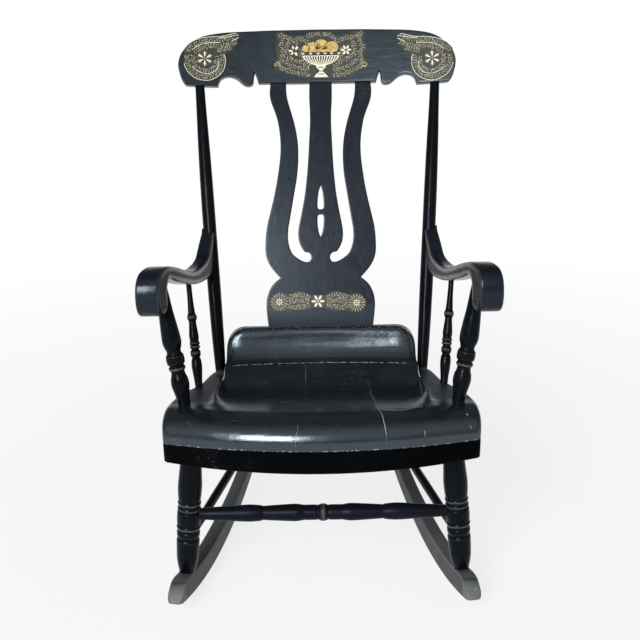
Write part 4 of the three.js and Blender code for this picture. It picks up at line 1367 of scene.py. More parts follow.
@dataclass
class Back:
    """The leaning back: bent posts, the pierced splat and the shaped crest rail."""

    base_depth: float = 390.0
    base_height: float = 348.5
    rake: float = math.radians(19.9)
    post_length: float = 608.0
    bend: float = 12.0
    foot_half_width: float = 211.4
    head_half_width: float = 248.5
    post_radius: float = 13.9
    crest_half_width: float = 292.0
    crest_height: float = 126.4
    crest_thickness: float = 22.0
    crest_curve: float = 38.0
    crest_offset: float = 27.2
    splat_half_width: float = 116.3
    splat_thickness: float = 10.0
    splat_base: float = 93.0
    splat_base_offset: float = 5.0
    splat_top_offset: float = 24.0
    splat_shift: float = 7.0
    matt_foot: Pair = (0.14, 0.25)
    post_table: Table = (
        (0, 0.76), (0.06, 0.84), (0.12, 0.907), (0.2, 0.96), (0.32, 0.996), (0.43, 1),
        (0.54, 0.995), (0.68, 0.96), (0.82, 0.863), (0.92, 0.76), (1, 0.705),
    )
    crest_lower: Table = (
        (0, 0.076), (0.22, 0.074), (0.43, 0.068), (0.439, 0.145), (0.457, 0.262), (0.464, 0.13),
        (0.469, 0.062), (0.487, 0.028), (0.511, 0.024), (0.541, 0.05), (0.572, 0.112),
        (0.606, 0.162), (0.644, 0.18), (0.683, 0.158), (0.707, 0.105), (0.722, 0), (0.85, 0),
        (0.945, 0.004),
    )
    crest_side: Table = (
        (0.969, 0.06), (0.986, 0.165), (0.9965, 0.262), (1, 0.352), (0.993, 0.451), (0.974, 0.558),
        (0.949, 0.633), (0.911, 0.728), (0.836, 0.839), (0.73, 0.906), (0.64, 0.937),
        (0.48, 0.965), (0.325, 0.985), (0.12, 0.996),
    )
    splat_edge: Table = (
        (0, 0.937), (0.016, 0.948), (0.048, 0.966), (0.08, 0.979), (0.111, 0.977), (0.143, 0.943),
        (0.176, 0.86), (0.202, 0.728), (0.24, 0.877), (0.271, 0.958), (0.304, 0.997), (0.336, 1),
        (0.368, 0.994), (0.4, 0.978), (0.433, 0.949), (0.498, 0.879), (0.563, 0.817),
        (0.628, 0.77), (0.694, 0.736), (0.761, 0.734), (0.826, 0.771), (0.86, 0.807),
        (0.893, 0.859), (0.927, 0.912), (0.962, 0.932), (1, 0.92),
    )
    slot_edge: Table = (
        (0.206, 1), (0.207, 0.927), (0.198, 0.893), (0.194, 0.86), (0.194, 0.826), (0.208, 0.761),
        (0.223, 0.694), (0.243, 0.628), (0.272, 0.563), (0.315, 0.498), (0.372, 0.433),
        (0.399, 0.4), (0.405, 0.368), (0.373, 0.336), (0.3, 0.308), (0.262, 0.305), (0.226, 0.304),
        (0.19, 0.297), (0.17, 0.285), (0.185, 0.272), (0.225, 0.265), (0.29, 0.266),
        (0.352, 0.272), (0.46, 0.288), (0.523, 0.304), (0.575, 0.336), (0.592, 0.368),
        (0.586, 0.4), (0.562, 0.433), (0.513, 0.498), (0.464, 0.563), (0.421, 0.628),
        (0.405, 0.694), (0.42, 0.761), (0.473, 0.826), (0.514, 0.86), (0.558, 0.893),
        (0.601, 0.927), (0.626, 0.962), (0.632, 1),
    )
    # The rows of crest_lower, and then of splat_edge and slot_edge, at which each is sharp
    crest_corners: tuple[int, ...] = (2, 4, 15, 17)
    cusp_row: int = 7
    curl_row: int = 14
    upper_drop: Table = (
        (0, 0.574), (0.026, 0.557), (0.045, 0.533), (0.055, 0.508), (0.055, 0.488), (0.04, 0.479),
        (0, 0.477),
    )
    lower_drop: Table = (
        (0, 0.457), (0.042, 0.454), (0.055, 0.443), (0.055, 0.42), (0.045, 0.4), (0.026, 0.38),
        (0, 0.366),
    )

    def put(self, points: Array) -> Array:
        """Carries points of the leaning frame into the chair.

        The frame is turned back by its rake around a line between the posts' feet: depth is y
        times the cosine plus z times the sine, and height is z times the cosine less y times
        the sine.

        Args:
            points: points whose last axis is x, y and z in the leaning frame.

        Returns:
            The points in the chair's own measures.
        """
        x, y, z = points[..., 0], points[..., 1], points[..., 2]
        cos, sin = math.cos(self.rake), math.sin(self.rake)
        depth = self.base_depth + y * cos + z * sin
        height = self.base_height - y * sin + z * cos
        return spots(x, depth, height)

    def bent(self, z: Array) -> Array:
        """How far the frame is bent forward, a parabola up the posts."""
        share = z / self.post_length
        return -4 * self.bend * share * (1 - share)

    def crest_middle(self, x: Array, z: Array) -> Array:
        """The crest's middle surface, curved back by the square of the share across."""
        curve = self.crest_curve * (x / self.crest_half_width) ** 2
        return self.crest_offset - curve + self.bent(z)

    @property
    def splat_top(self) -> float:
        """The height at which the splat meets the crest."""
        return self.post_length + self.crest_height * self.crest_lower[0][1]

    @property
    def splat_height(self) -> float:
        """The splat's height between roll and crest."""
        return self.splat_top - self.splat_base

    def splat_middle(self, z: Array) -> Array:
        """The splat's middle surface."""
        share = (z - self.splat_base) / self.splat_height
        return mix(self.splat_base_offset, self.splat_top_offset, share) + self.bent(z)

    def splat_aside(self, z: Array) -> Array:
        """How far the splat stands to one side at a height."""
        return self.splat_shift * (z - self.splat_base) / self.splat_height

    def on_crest(self, flat: Array, face: float, sink: float) -> Array:
        """Puts flat points beneath a face of the crest: minus one is its front, one its rear."""
        y = self.crest_middle(*flat.T) + face * (self.crest_thickness / 2 - sink)
        return self.put(spots(flat[:, 0], y, flat[:, 1]))

    def on_splat(self, flat: Array, face: float, sink: float) -> Array:
        """Puts flat points beneath a face of the splat: minus one is its front, one its rear."""
        y = self.splat_middle(flat[:, 1]) + face * (self.splat_thickness / 2 - sink)
        return self.put(spots(flat[:, 0], y, flat[:, 1]))

    def post(self, side: Side) -> Form:
        """A bent, leaning post: rings carried up its axis.

        Args:
            side: which post.

        Returns:
            The form.
        """
        share = np.linspace(-0.03, 1, 200)
        size = rising(self.post_table, share) * self.post_radius
        z = share * self.post_length
        z[-1] += 3
        angle = np.linspace(0, 2 * math.pi, TURNING_SIDES, endpoint=False)
        axis = side.value * mix(self.foot_half_width, self.head_half_width, share)
        x = axis[:, None] + size[:, None] * np.cos(angle)
        y = self.bent(z)[:, None] + size[:, None] * np.sin(angle)
        points = spots(x, y, np.repeat(z[:, None], len(angle), 1))
        wear = 0.9 * np.exp(-(((z - 2) / 5) ** 2))
        return tube(self.put(points), wear)

    def crest(self) -> Form:
        """The crest rail, sawn to its outline and bent.

        Returns:
            The form.
        """
        half = np.array(self.crest_lower[1:] + self.crest_side)
        whole = np.vstack([[self.crest_lower[0]], half, [(0, 1)], (half * [-1, 1])[::-1]])
        points = whole * [self.crest_half_width, self.crest_height] + [0, self.post_length]
        sharp = list(self.crest_corners)
        top = 1 + len(half)
        mirrored = [2 * top - corner for corner in reversed(sharp)]
        ring = outline(points, sharp + mirrored, spacing=2.6)
        return board([ring], self.on_crest, round_edge=2.0, spacing=7.0)

    def splat(self) -> Form:
        """The splat with its two slots, open at the top, and its two drops.

        Returns:
            The form.
        """
        scale = np.array([self.splat_half_width, self.splat_height])
        edge = np.array(self.splat_edge)[:, ::-1]
        slot = np.array(self.slot_edge)
        foot, head = -0.03, 1.015
        ends = [[(edge[0, 0], foot)], [(edge[-1, 0], head), (slot[-1, 0], head)]]
        right = np.vstack([ends[0], edge, ends[1], slot[::-1], [(slot[0, 0], head)]])
        count = len(edge)
        cusp = 1 + self.cusp_row
        curl = count + 3 + (len(slot) - 1 - self.curl_row)
        sharp = [0, cusp, count + 1, count + 2, curl, len(right) - 1]
        whole = np.vstack([right, (right * [-1, 1])[::-1]])
        mirrored = [2 * len(right) - 1 - corner for corner in reversed(sharp)]
        flat = whole * scale + [0, self.splat_base]
        flat[:, 0] += self.splat_aside(flat[:, 1])
        rings = [outline(flat, sharp + mirrored, spacing=2.4)]
        for table in (self.upper_drop, self.lower_drop):
            drop = np.array(table)
            both = np.vstack([drop, (drop * [-1, 1])[-2:0:-1]])
            hole = both * scale + [0, self.splat_base]
            hole[:, 0] += self.splat_aside(hole[:, 1])
            tip = 0 if table is self.upper_drop else len(drop) - 1
            rings.append(outline(hole, [tip], spacing=2.0))
        form = board(rings, self.on_splat, round_edge=1.2, spacing=7.0)
        rise = (form.points[:, 2] - self.base_height) / (self.splat_top * math.cos(self.rake))
        foot = 1 - smoothstep(rise, *self.matt_foot)
        form.wear = form.wear - foot * (1 - np.minimum(3 * form.wear, 1))
        return form

    def build(self, shop: Workshop, finishes: Finishes) -> None:
        """Makes the back's pieces.

        Args:
            shop: makes pieces of forms.
            finishes: the materials.
        """
        for side in Side:
            name = f"bent_post_{side.label}"
            shop.piece(name, self.post(side), finishes.turned, f"back_post_{side.label}")
        shop.piece("shaped_crest", self.crest(), finishes.back, "crest_rail")
        shop.piece("pierced_splat", self.splat(), finishes.splat, "back_splat")


# Stencil


@dataclass
class Patch:
    """Flat shapes of one layer and colour, before they are laid on a surface.

    Attributes:
        rings: the shapes' outlines, in millimetres on the surface.
        centre: the place of the motif in work.
        scale: its unit along both axes, the first negative where it is mirrored.
    """

    rings: list[Array] = field(default_factory=list)
    centre: Array = field(default_factory=lambda: np.zeros(2))
    scale: Array = field(default_factory=lambda: np.ones(2))

    def add(self, ring: Array) -> None:
        """Adds an outline in the motif's units."""
        self.rings.append(self.centre + ring * self.scale)

    def petals(self, foot: Array, angle: Array, length: Array, width: Array) -> None:
        """Adds leaf shapes.

        A leaf's half width is half of its width times the sine of pi times the share along it,
        raised to 0.8, which gives two pointed ends.

        Args:
            foot: the foot of each leaf.
            angle: the way it points, in radians.
            length: its length.
            width: its width.
        """
        share = np.array([0, 0.18, 0.4, 0.62, 0.82, 1, 0.82, 0.62, 0.4, 0.18])
        sign = np.array([0, 1, 1, 1, 1, 0, -1, -1, -1, -1])
        half = 0.5 * np.sin(math.pi * share) ** 0.8 * sign
        along = length[:, None] * share
        aside = width[:, None] * half
        cos, sin = np.cos(angle)[:, None], np.sin(angle)[:, None]
        x = foot[:, :1] + along * cos - aside * sin
        z = foot[:, 1:] + along * sin + aside * cos
        for ring in np.stack([x, z], axis=-1):
            self.add(ring)

    def ribbon(self, path: Array, width: float) -> None:
        """Adds a line of a given width, in short pieces so that it bends with the surface.

        Args:
            path: its points.
            width: its width.
        """
        way = np.gradient(path, axis=0)
        way /= np.linalg.norm(way, axis=1)[:, None] + 1e-9
        aside = np.stack([-way[:, 1], way[:, 0]], axis=1) * width / 2
        left, right = path + aside, path - aside
        for ring in np.stack([left[:-1], right[:-1], right[1:], left[1:]], axis=1):
            self.add(ring)

    def wreath(
        self,
        centre: Pair,
        count: int,
        inner: float,
        outer: float,
        width: float,
        start: float = 90.0,
    ) -> None:
        """Adds leaves around a centre, which make a flower or its wreath.

        Args:
            centre: its middle.
            count: the number of leaves.
            inner: the radius of their feet.
            outer: the radius of their tips.
            width: the width of a leaf.
            start: the angle of the first one, in degrees.
        """
        angle = math.radians(start) + np.arange(count) * 2 * math.pi / count
        way = circle(angle)
        every = np.ones(count)
        self.petals(np.array(centre) + inner * way, angle, (outer - inner) * every, width * every)

    def sprig(self, stem: Table, leaf: "Leaf") -> None:
        """Adds leaves in pairs along a smooth stem.

        Args:
            stem: the points that the stem passes.
            leaf: the leaves' measures.
        """
        path = spline(np.array(stem, float), spacing=0.5)
        run = np.concatenate([[0], np.cumsum(np.linalg.norm(np.diff(path, axis=0), axis=1))])
        places = np.arange(leaf.step / 3, run[-1], leaf.step)
        x = np.interp(places, run, path[:, 0])
        z = np.interp(places, run, path[:, 1])
        way = np.gradient(path, axis=0)
        angle = np.interp(places, run, np.unwrap(np.arctan2(way[:, 1], way[:, 0])))
        foot = np.stack([x, z], axis=1)
        random = np.random.default_rng(SEED + len(self.rings))
        for sign in (-1, 1):
            turn, length, width = random.uniform(-leaf.spread, leaf.spread, (3, len(places)))
            shape = (leaf.length * (1 + length), leaf.width * (1 + width))
            self.petals(foot, angle + sign * (leaf.lean + turn), *shape)

    def form(self, lay: Lay, height: float) -> Form:
        """Lays the shapes on a surface as thin closed plates.

        Args:
            lay: puts flat points on the surface, at a height above it.
            height: the plates' height.

        Returns:
            All the plates in one form.
        """
        points: list[Array] = []
        faces: list[list[int]] = []
        first = 0
        for ring in self.rings:
            turned = ring if area(ring) > 0 else ring[::-1]
            count = len(turned)
            points.append(lay(turned, height))
            points.append(lay(turned, -SINK))
            number = first + np.arange(count)
            after = first + (np.arange(count) + 1) % count
            faces.append(number.tolist())
            faces.append((number[::-1] + count).tolist())
            faces += np.stack([after, number, number + count, after + count], axis=1).tolist()
            first += 2 * count
        whole = np.vstack(points)
        return Form(whole, faces, np.zeros(len(whole)))


@dataclass(frozen=True)
class Leaf:
    """The leaves of a sprig, in the stencil's units."""

    length: float = 3.4
    width: float = 0.8
    lean: float = 0.8
    step: float = 2.5
    spread: float = 0.28


@dataclass
class Sheets:
    """The stencil's layers while a motif is drawn."""

    leaves: Patch = field(default_factory=Patch)
    bodies: Patch = field(default_factory=Patch)
    fruit: Patch = field(default_factory=Patch)
    shades: Patch = field(default_factory=Patch)
    lights: Patch = field(default_factory=Patch)

    def move(self, centre: Pair, unit: float, sign: int = 1) -> None:
        """Starts a motif.

        Args:
            centre: its middle.
            unit: the length of its unit.
            sign: minus one for a mirrored motif.
        """
        for patch in (self.leaves, self.bodies, self.fruit, self.shades, self.lights):
            patch.centre = np.array(centre, float)
            patch.scale = np.array([sign * unit, unit])


def arc(centre: Pair, radius: float, start: float, end: float, count: int) -> Array:
    """Points of a circle's arc, its angles in degrees."""
    angle = np.radians(np.linspace(start, end, count))
    return np.array(centre) + radius * circle(angle)


@dataclass
class Ornament:
    """The stencilled ornament of the crest and the splat, in traditional motifs.

    The motifs are drawn in units of about two millimetres.
    """

    back: Back
    unit: float = 2.13
    line: float = 0.55
    left_rosette: Pair = (-237.0, 662.0)
    right_rosette: Pair = (243.5, 655.0)
    ring: float = 20.2
    bowl_place: Pair = (8.5, 676.0)
    band_place: Pair = (-5.7, 149.0)
    flutes: int = 14
    flute_start: float = 0.7
    flute_reach: float = 9.2
    flute_slot: float = 0.74
    rim_height: float = 3.7
    rim_spots: tuple[float, ...] = (-17.9, -10.1, -2.7, 4.3, 10.8, 18.0)
    bowl_half: Table = (
        (0, 18.7), (2, 17.9), (4, 16.5), (6, 14.4), (8, 11.4), (9.4, 7.6), (10.3, 4.8),
    )
    foot_half: Table = (
        (10.3, 4.8), (11.2, 4.9), (12.2, 4.6), (13.6, 3.2), (15, 1.5), (16, 1.3), (17.2, 2.4),
        (19, 4.5), (21.4, 6.5), (22.4, 6.8),
    )
    tail_top: Table = (
        (-20, 11.1), (-15, 17), (-7.2, 21.6), (1.4, 23.9), (8.6, 25), (16.4, 25.6), (25, 28),
        (31.1, 29.4),
    )
    tail_rim: Table = (
        (33.4, 27.6), (33.6, 25), (31, 22), (32, 18.5), (29.3, 15), (26.4, 11.4), (20.7, 9.7),
    )
    tail_lines: tuple[Table, ...] = (
        ((13.6, 24), (20, 24.8), (27, 26.3), (33.4, 27.6)),
        ((26.7, 21.4), (30, 23), (33.6, 25)),
        ((-11.8, 10.7), (-5.7, 15.4), (0.7, 17.7), (7.8, 18.9), (15, 18.9)),
        (
            (-12.2, -6.4), (-7.9, -10.3), (-2.2, -12.8), (4.3, -13), (10, -10), (12.8, -5.7),
            (13.6, 0),
        ),
    )
    rosette_stems: tuple[Table, ...] = (
        ((-18, 8), (-12, 14.2), (-5, 18.5), (3, 20.8), (11, 22), (19, 22.8), (27, 25.2)),
        ((-10, 6.5), (-6, 11.2), (0, 14), (7, 15.4), (15, 15.8), (23, 18), (30, 20.4)),
        ((11, 10.5), (18, 12.2), (25, 14.6)),
        (
            (17.5, 8), (16.9, -1), (13.5, -9.6), (6, -15.6), (-3, -16.4), (-11, -12.6), (-16, -5),
            (-17.6, 4),
        ),
        ((11.5, 6), (11, -2), (6.5, -8.6), (-1, -10.4), (-7.6, -7), (-11, -1), (-11.6, 5)),
    )
    panel: Table = (
        (-44.2, 24), (-37.9, 24.6), (-32.9, 21.3), (-23.9, 20.3), (-14.9, 21.8), (-6.9, 24.4),
        (0.1, 24.8), (7.1, 24.4), (13.1, 21.3), (22.1, 20.8), (32.1, 23.6), (40.1, 24.6),
        (42.8, 21.8), (43.1, 13.8), (45.6, 8.8), (43.6, 1.8), (43.6, -3.2), (46.4, -8.2),
        (45.6, -14.2), (40.1, -15.2), (31.1, -19.7), (21.1, -22.9), (10.1, -23.5), (0, -23.2),
        (-9.9, -23.5), (-19.9, -22), (-29.9, -18.7), (-38.9, -16), (-45.4, -13.7), (-47.2, -9.2),
        (-44.9, -4.2), (-44.4, 1.8), (-45.1, 8.8), (-43.4, 14.8), (-44.9, 19.8),
    )
    panel_stems: tuple[Table, ...] = (
        ((14.1, 13.8), (24.1, 17.1), (35.1, 19.4), (41.1, 22.6)),
        ((1.1, 22.2), (9.1, 21.4), (15.1, 16.8)),
        ((40.1, 20.4), (39.1, 13.8), (42.1, 7.8), (39.1, 1.8), (40.1, -4.2), (41.6, -11.2)),
        ((31.1, 15), (33.1, 9.8), (34.1, 3.8), (29.1, -2.2), (21.1, -6.2), (15.1, -10.2)),
        ((11.1, -13.6), (19.1, -14.2), (29.1, -10.2), (36.1, -4.2)),
        ((11.1, -20), (21.1, -19.6), (31.1, -16.2), (39.1, -12.2)),
        ((-24.9, 20), (-17.9, 16.8), (-12.9, 13.4)),
        ((-42.9, 22), (-35.9, 19.4), (-28.9, 16.8), (-22.9, 11.8)),
        ((-37.9, 17.4), (-39.4, 9.8), (-37.9, 1.8), (-39.9, -6.2), (-43.4, -11)),
        ((-31.9, 15.4), (-33.9, 9.8), (-32.9, 1.8), (-28.9, -4.2), (-20.9, -6.2), (-12.9, -10.2)),
        ((-10.9, -14.2), (-20.9, -12.6), (-29.9, -10.2), (-35.9, -4.2)),
        ((-9.9, -20.2), (-19.9, -18.6), (-29.9, -16), (-40.9, -12.6)),
        ((-14.9, 19.6), (-7.9, 21.8), (-1.1, 22.2)),
        ((-20, 8), (-20, 2), (-16, -4)),
        ((21, 9), (20.5, 2), (17, -4)),
    )
    # Each fruit's middle, across and up, and its half width and half height
    fruits: tuple[tuple[float, float, float, float], ...] = (
        (0.6, 11.3, 6.8, 5.4), (-7.2, 8.2, 6.4, 6.2), (10.8, 8.2, 6.8, 6.4),
        (-14.9, 7.2, 3.8, 3.8), (2.2, 5.6, 5.6, 3.6),
    )
    # The number of a fruit, and where its dark rim starts and ends, in degrees
    fruit_rims: tuple[tuple[int, float, float], ...] = (
        (1, 10, 120), (2, 90, 205), (3, -70, 80), (4, 15, 165), (0, 150, 230),
    )
    band_rim: Table = (
        (-47.5, -2), (-46.5, 3), (-43, 7.2), (-38, 8.8), (-33, 8.2), (-28.5, 7.6), (-23, 9),
        (-18, 9.8), (-13, 9), (-8.5, 6.4), (-4, 6.2), (0, 6.8), (4, 6.2), (8.5, 6.4), (13, 9),
        (18, 9.8), (23, 8.8), (28.5, 6.6), (33, 6.8), (38, 7.2), (43, 5.5), (46, 1.5), (47, -2.5),
        (45.5, -6.5), (41, -10), (36, -10.4), (31, -9.7), (25, -9.6), (18, -9.6), (11, -8.4),
        (5, -6.4), (0, -6.6), (-5, -6.4), (-11, -8.3), (-18, -8.8), (-25, -8.4), (-31, -8.4),
        (-36, -9), (-41, -8.5), (-45.5, -6),
    )
    band_stems: tuple[Table, ...] = (
        ((8, 2), (13, 5.2), (18, 6.4), (24, 5.4), (29, 3)),
        ((8, 0), (14, 0.8), (21, 0.6), (28.5, -0.8)),
        ((8, -2), (13, -4.4), (19, -5.8), (25, -5.8), (30, -4.6)),
    )
    leaf: Leaf = Leaf()

    def on_crest(self, flat: Array, height: float) -> Array:
        """Puts flat points on the crest's front face, or some way above it."""
        return self.back.on_crest(flat, -1, -height)

    def on_splat(self, flat: Array, height: float) -> Array:
        """Puts flat points on the splat's front face, moved aside as the splat is."""
        aside = self.back.splat_aside(flat[:, 1:])
        return self.back.on_splat(flat + aside * [1, 0], -1, -height)

    def ground(self, lay: Lay, patch: Patch, rim: Array) -> Form:
        """A wide patch of powder, as rings of points from its middle to its rim.

        A point lies at the rim's own middle plus its ring's share of the way to the rim.

        Args:
            lay: puts flat points on the surface.
            patch: the motif's place and unit.
            rim: its outline in units, which every ray from its middle meets once.

        Returns:
            The form.
        """
        dense = patch.centre + outline(rim, [0], spacing=1.2) * patch.scale
        share = np.linspace(0.04, 1, 14)[:, None, None]
        middle = patch.centre + rim.mean(axis=0) * patch.scale
        flat = middle + (dense - middle)[None] * share
        heights = (Layer.GROUND.value, -SINK)
        near, far = (lay(flat.reshape(-1, 2), h).reshape(*flat.shape[:2], 3) for h in heights)
        return tube(np.concatenate([near, far[::-1]]), np.zeros(2 * len(flat)))

    def build(self, shop: Workshop, finishes: Finishes) -> None:
        """Makes the ornament's pieces, each of one layer.

        Args:
            shop: makes pieces of forms.
            finishes: the materials.
        """
        crest, splat = Sheets(), Sheets()
        ground = self.corner(crest, self.left_rosette, 1)
        ground = ground.merged(self.corner(crest, self.right_rosette, -1))
        ground = ground.merged(self.bowl(crest)).merged(self.band(splat))
        shop.piece("stencil_ground", ground, finishes.ground)
        layers = (
            ("stencil_leaves", "leaves", Layer.LEAVES, finishes.bronze),
            ("stencil_bowl", "bodies", Layer.BODIES, finishes.cream),
            ("stencil_fruit", "fruit", Layer.BODIES, finishes.amber),
            ("stencil_shades", "shades", Layer.SHADES, finishes.shade),
            ("stencil_lights", "lights", Layer.LIGHTS, finishes.cream),
        )
        for name, sheet, layer, finish in layers:
            upper, lower = getattr(crest, sheet), getattr(splat, sheet)
            whole = upper.form(self.on_crest, layer.value)
            if lower.rings:
                whole = whole.merged(lower.form(self.on_splat, layer.value))
            shop.piece(name, whole, finish)

    def corner(self, sheets: Sheets, place: Pair, sign: int) -> Form:
        """A corner rosette with its feathered tail.

        Args:
            sheets: the layers.
            place: the middle of its ring.
            sign: minus one for the mirrored one.

        Returns:
            The powder ground under it.
        """
        sheets.move(place, self.unit, sign)
        star = (0.0, 2.2)
        sheets.lights.wreath(star, 6, 1.5, 7.9, 1.75)
        sheets.leaves.wreath(star, 6, 0.1, 1.2, 0.9, 30)
        sheets.leaves.wreath(star, 12, 4.6, 7.4, 0.7, 105)
        for stem in self.rosette_stems:
            sheets.leaves.sprig(stem, self.leaf)
        sheets.lights.ribbon(arc((0, 0), self.ring, 191, 382, 80), self.line)
        for table in (self.tail_top, *self.tail_lines):
            sheets.lights.ribbon(spline(np.array(table, float), spacing=0.8), self.line)
        ring = arc((0, 0), self.ring, 376, 172, 60)
        rim = np.vstack([np.array(self.tail_top, float), np.array(self.tail_rim, float), ring])
        return self.ground(self.on_crest, sheets.leaves, rim)

    def bowl(self, sheets: Sheets) -> Form:
        """The footed bowl of fruit between leafy sprays.

        The bowl is a row of flutes from its rim down its own curve, with tapered slots on them.

        Args:
            sheets: the layers.

        Returns:
            The powder ground under it.
        """
        sheets.move(self.bowl_place, self.unit)
        down = np.linspace(0, self.bowl_half[-1][0], 12)
        half = rising(self.bowl_half, down)
        edges = np.linspace(-1, 1, self.flutes + 1)
        for left, right in zip(edges[:-1], edges[1:]):
            sides = [np.stack([side * half, -down], axis=1) for side in (left, right)]
            sheets.bodies.add(np.vstack([sides[0], sides[1][::-1]]))
        share = np.linspace(0, 1, 9)
        for edge in edges[1:-1]:
            reach = self.flute_start + share * (self.flute_reach - 1.8 * abs(edge))
            middle = edge * rising(self.bowl_half, reach)
            wide = self.flute_slot * (1 - share**2) * (1 - 0.3 * abs(edge)) + 0.06
            left, right = (np.stack([middle + s * wide, -reach], axis=1) for s in (-1, 1))
            sheets.shades.add(np.vstack([left, right[::-1]]))
        stem = np.array(self.foot_half)
        for upper, lower in zip(stem[:-1], stem[1:]):
            (high, wide), (low, narrow) = upper, lower
            quad = [(-wide, -high), (wide, -high), (narrow, -low), (-narrow, -low)]
            sheets.bodies.add(np.array(quad))
        for level, reach in ((12.3, 2.6), (16.2, 0.9), (19.2, 3.2)):
            sheets.shades.ribbon(np.array([(-reach, -level), (reach, -level)]), 0.8)
        across = np.linspace(-19, 19, 30)
        sheets.shades.ribbon(np.stack([across, np.full(30, 2.0)], axis=1), 3.3)
        block = np.array([(-1.3, 1.3), (1.3, 1.3), (1.3, 2.8), (-1.3, 2.8)])
        for spot in self.rim_spots:
            sheets.lights.add(block + [spot, 0])
        angle = np.linspace(0, 2 * math.pi, 26, endpoint=False)
        for x, z, wide, tall in self.fruits:
            body = circle(angle) * [wide, tall] + [x, z]
            sheets.fruit.add(np.maximum(body, [-40, self.rim_height]))
        for number, start, end in self.fruit_rims:
            x, z, wide, tall = self.fruits[number]
            rim = arc((0, 0), 1.0, start, end, 14) * [wide, tall] + [x, z]
            sheets.shades.ribbon(rim, 0.65)
        sheets.shades.petals(
            np.array([(-4.4, 5.6), (-4.6, 6.5), (0.4, 6.6), (-13.6, 5.2), (8.0, 5.0)]),
            np.radians([75, 20, 10, 60, 20]),
            np.array([6.0, 5.0, 6.4, 3.2, 3.6]),
            np.array([2.4, 1.6, 2.2, 0.7, 0.7]),
        )
        sheets.lights.wreath((25.4, 5.2), 6, 0.9, 5.5, 2.2, 60)
        sheets.lights.petals(
            np.array([(-27.0, 6.6), (-25.6, 6.2), (-28.0, 5.0), (-27.4, 4.0), (-25.8, 3.8)]),
            np.radians([112, 50, 178, 232, 298]),
            np.array([4.2, 4.4, 4.2, 3.8, 4.4]),
            np.array([2.1, 2.6, 2.2, 2.0, 2.8]),
        )
        for stem_table in self.panel_stems:
            sheets.leaves.sprig(stem_table, self.leaf)
        for x, z, start in ((43.4, -10.4, -150), (-43.8, -9.2, -20)):
            sheets.fruit.ribbon(arc((x, z), 2.3, start, start + 250, 20), 0.8)
        return self.ground(self.on_crest, sheets.leaves, np.array(self.panel, float))

    def band(self, sheets: Sheets) -> Form:
        """The garland across the foot of the splat.

        Args:
            sheets: the layers.

        Returns:
            The powder ground under it.
        """
        sheets.move(self.band_place, self.unit)
        sheets.lights.wreath((0, 0), 6, 1.3, 6.8, 2.5, 0)
        sheets.lights.wreath((0, 0), 6, 0.0, 0.9, 0.9, 30)
        for sign, flower in ((-1, (-38.2, -0.2)), (1, (38.1, -2.1))):
            sheets.lights.wreath(flower, 8, 1.1, 3.9, 1.25)
            sheets.lights.wreath(flower, 4, 0.0, 0.7, 0.7)
            sheets.leaves.wreath(flower, 17, 5.0, 9.2, 1.15)
            sheets.leaves.wreath(flower, 12, 3.6, 5.6, 0.8)
            for stem in self.band_stems:
                sheets.leaves.sprig(np.array(stem) * [sign, 1], self.leaf)
        return self.ground(self.on_splat, sheets.leaves, np.array(self.band_rim, float))


# Arms


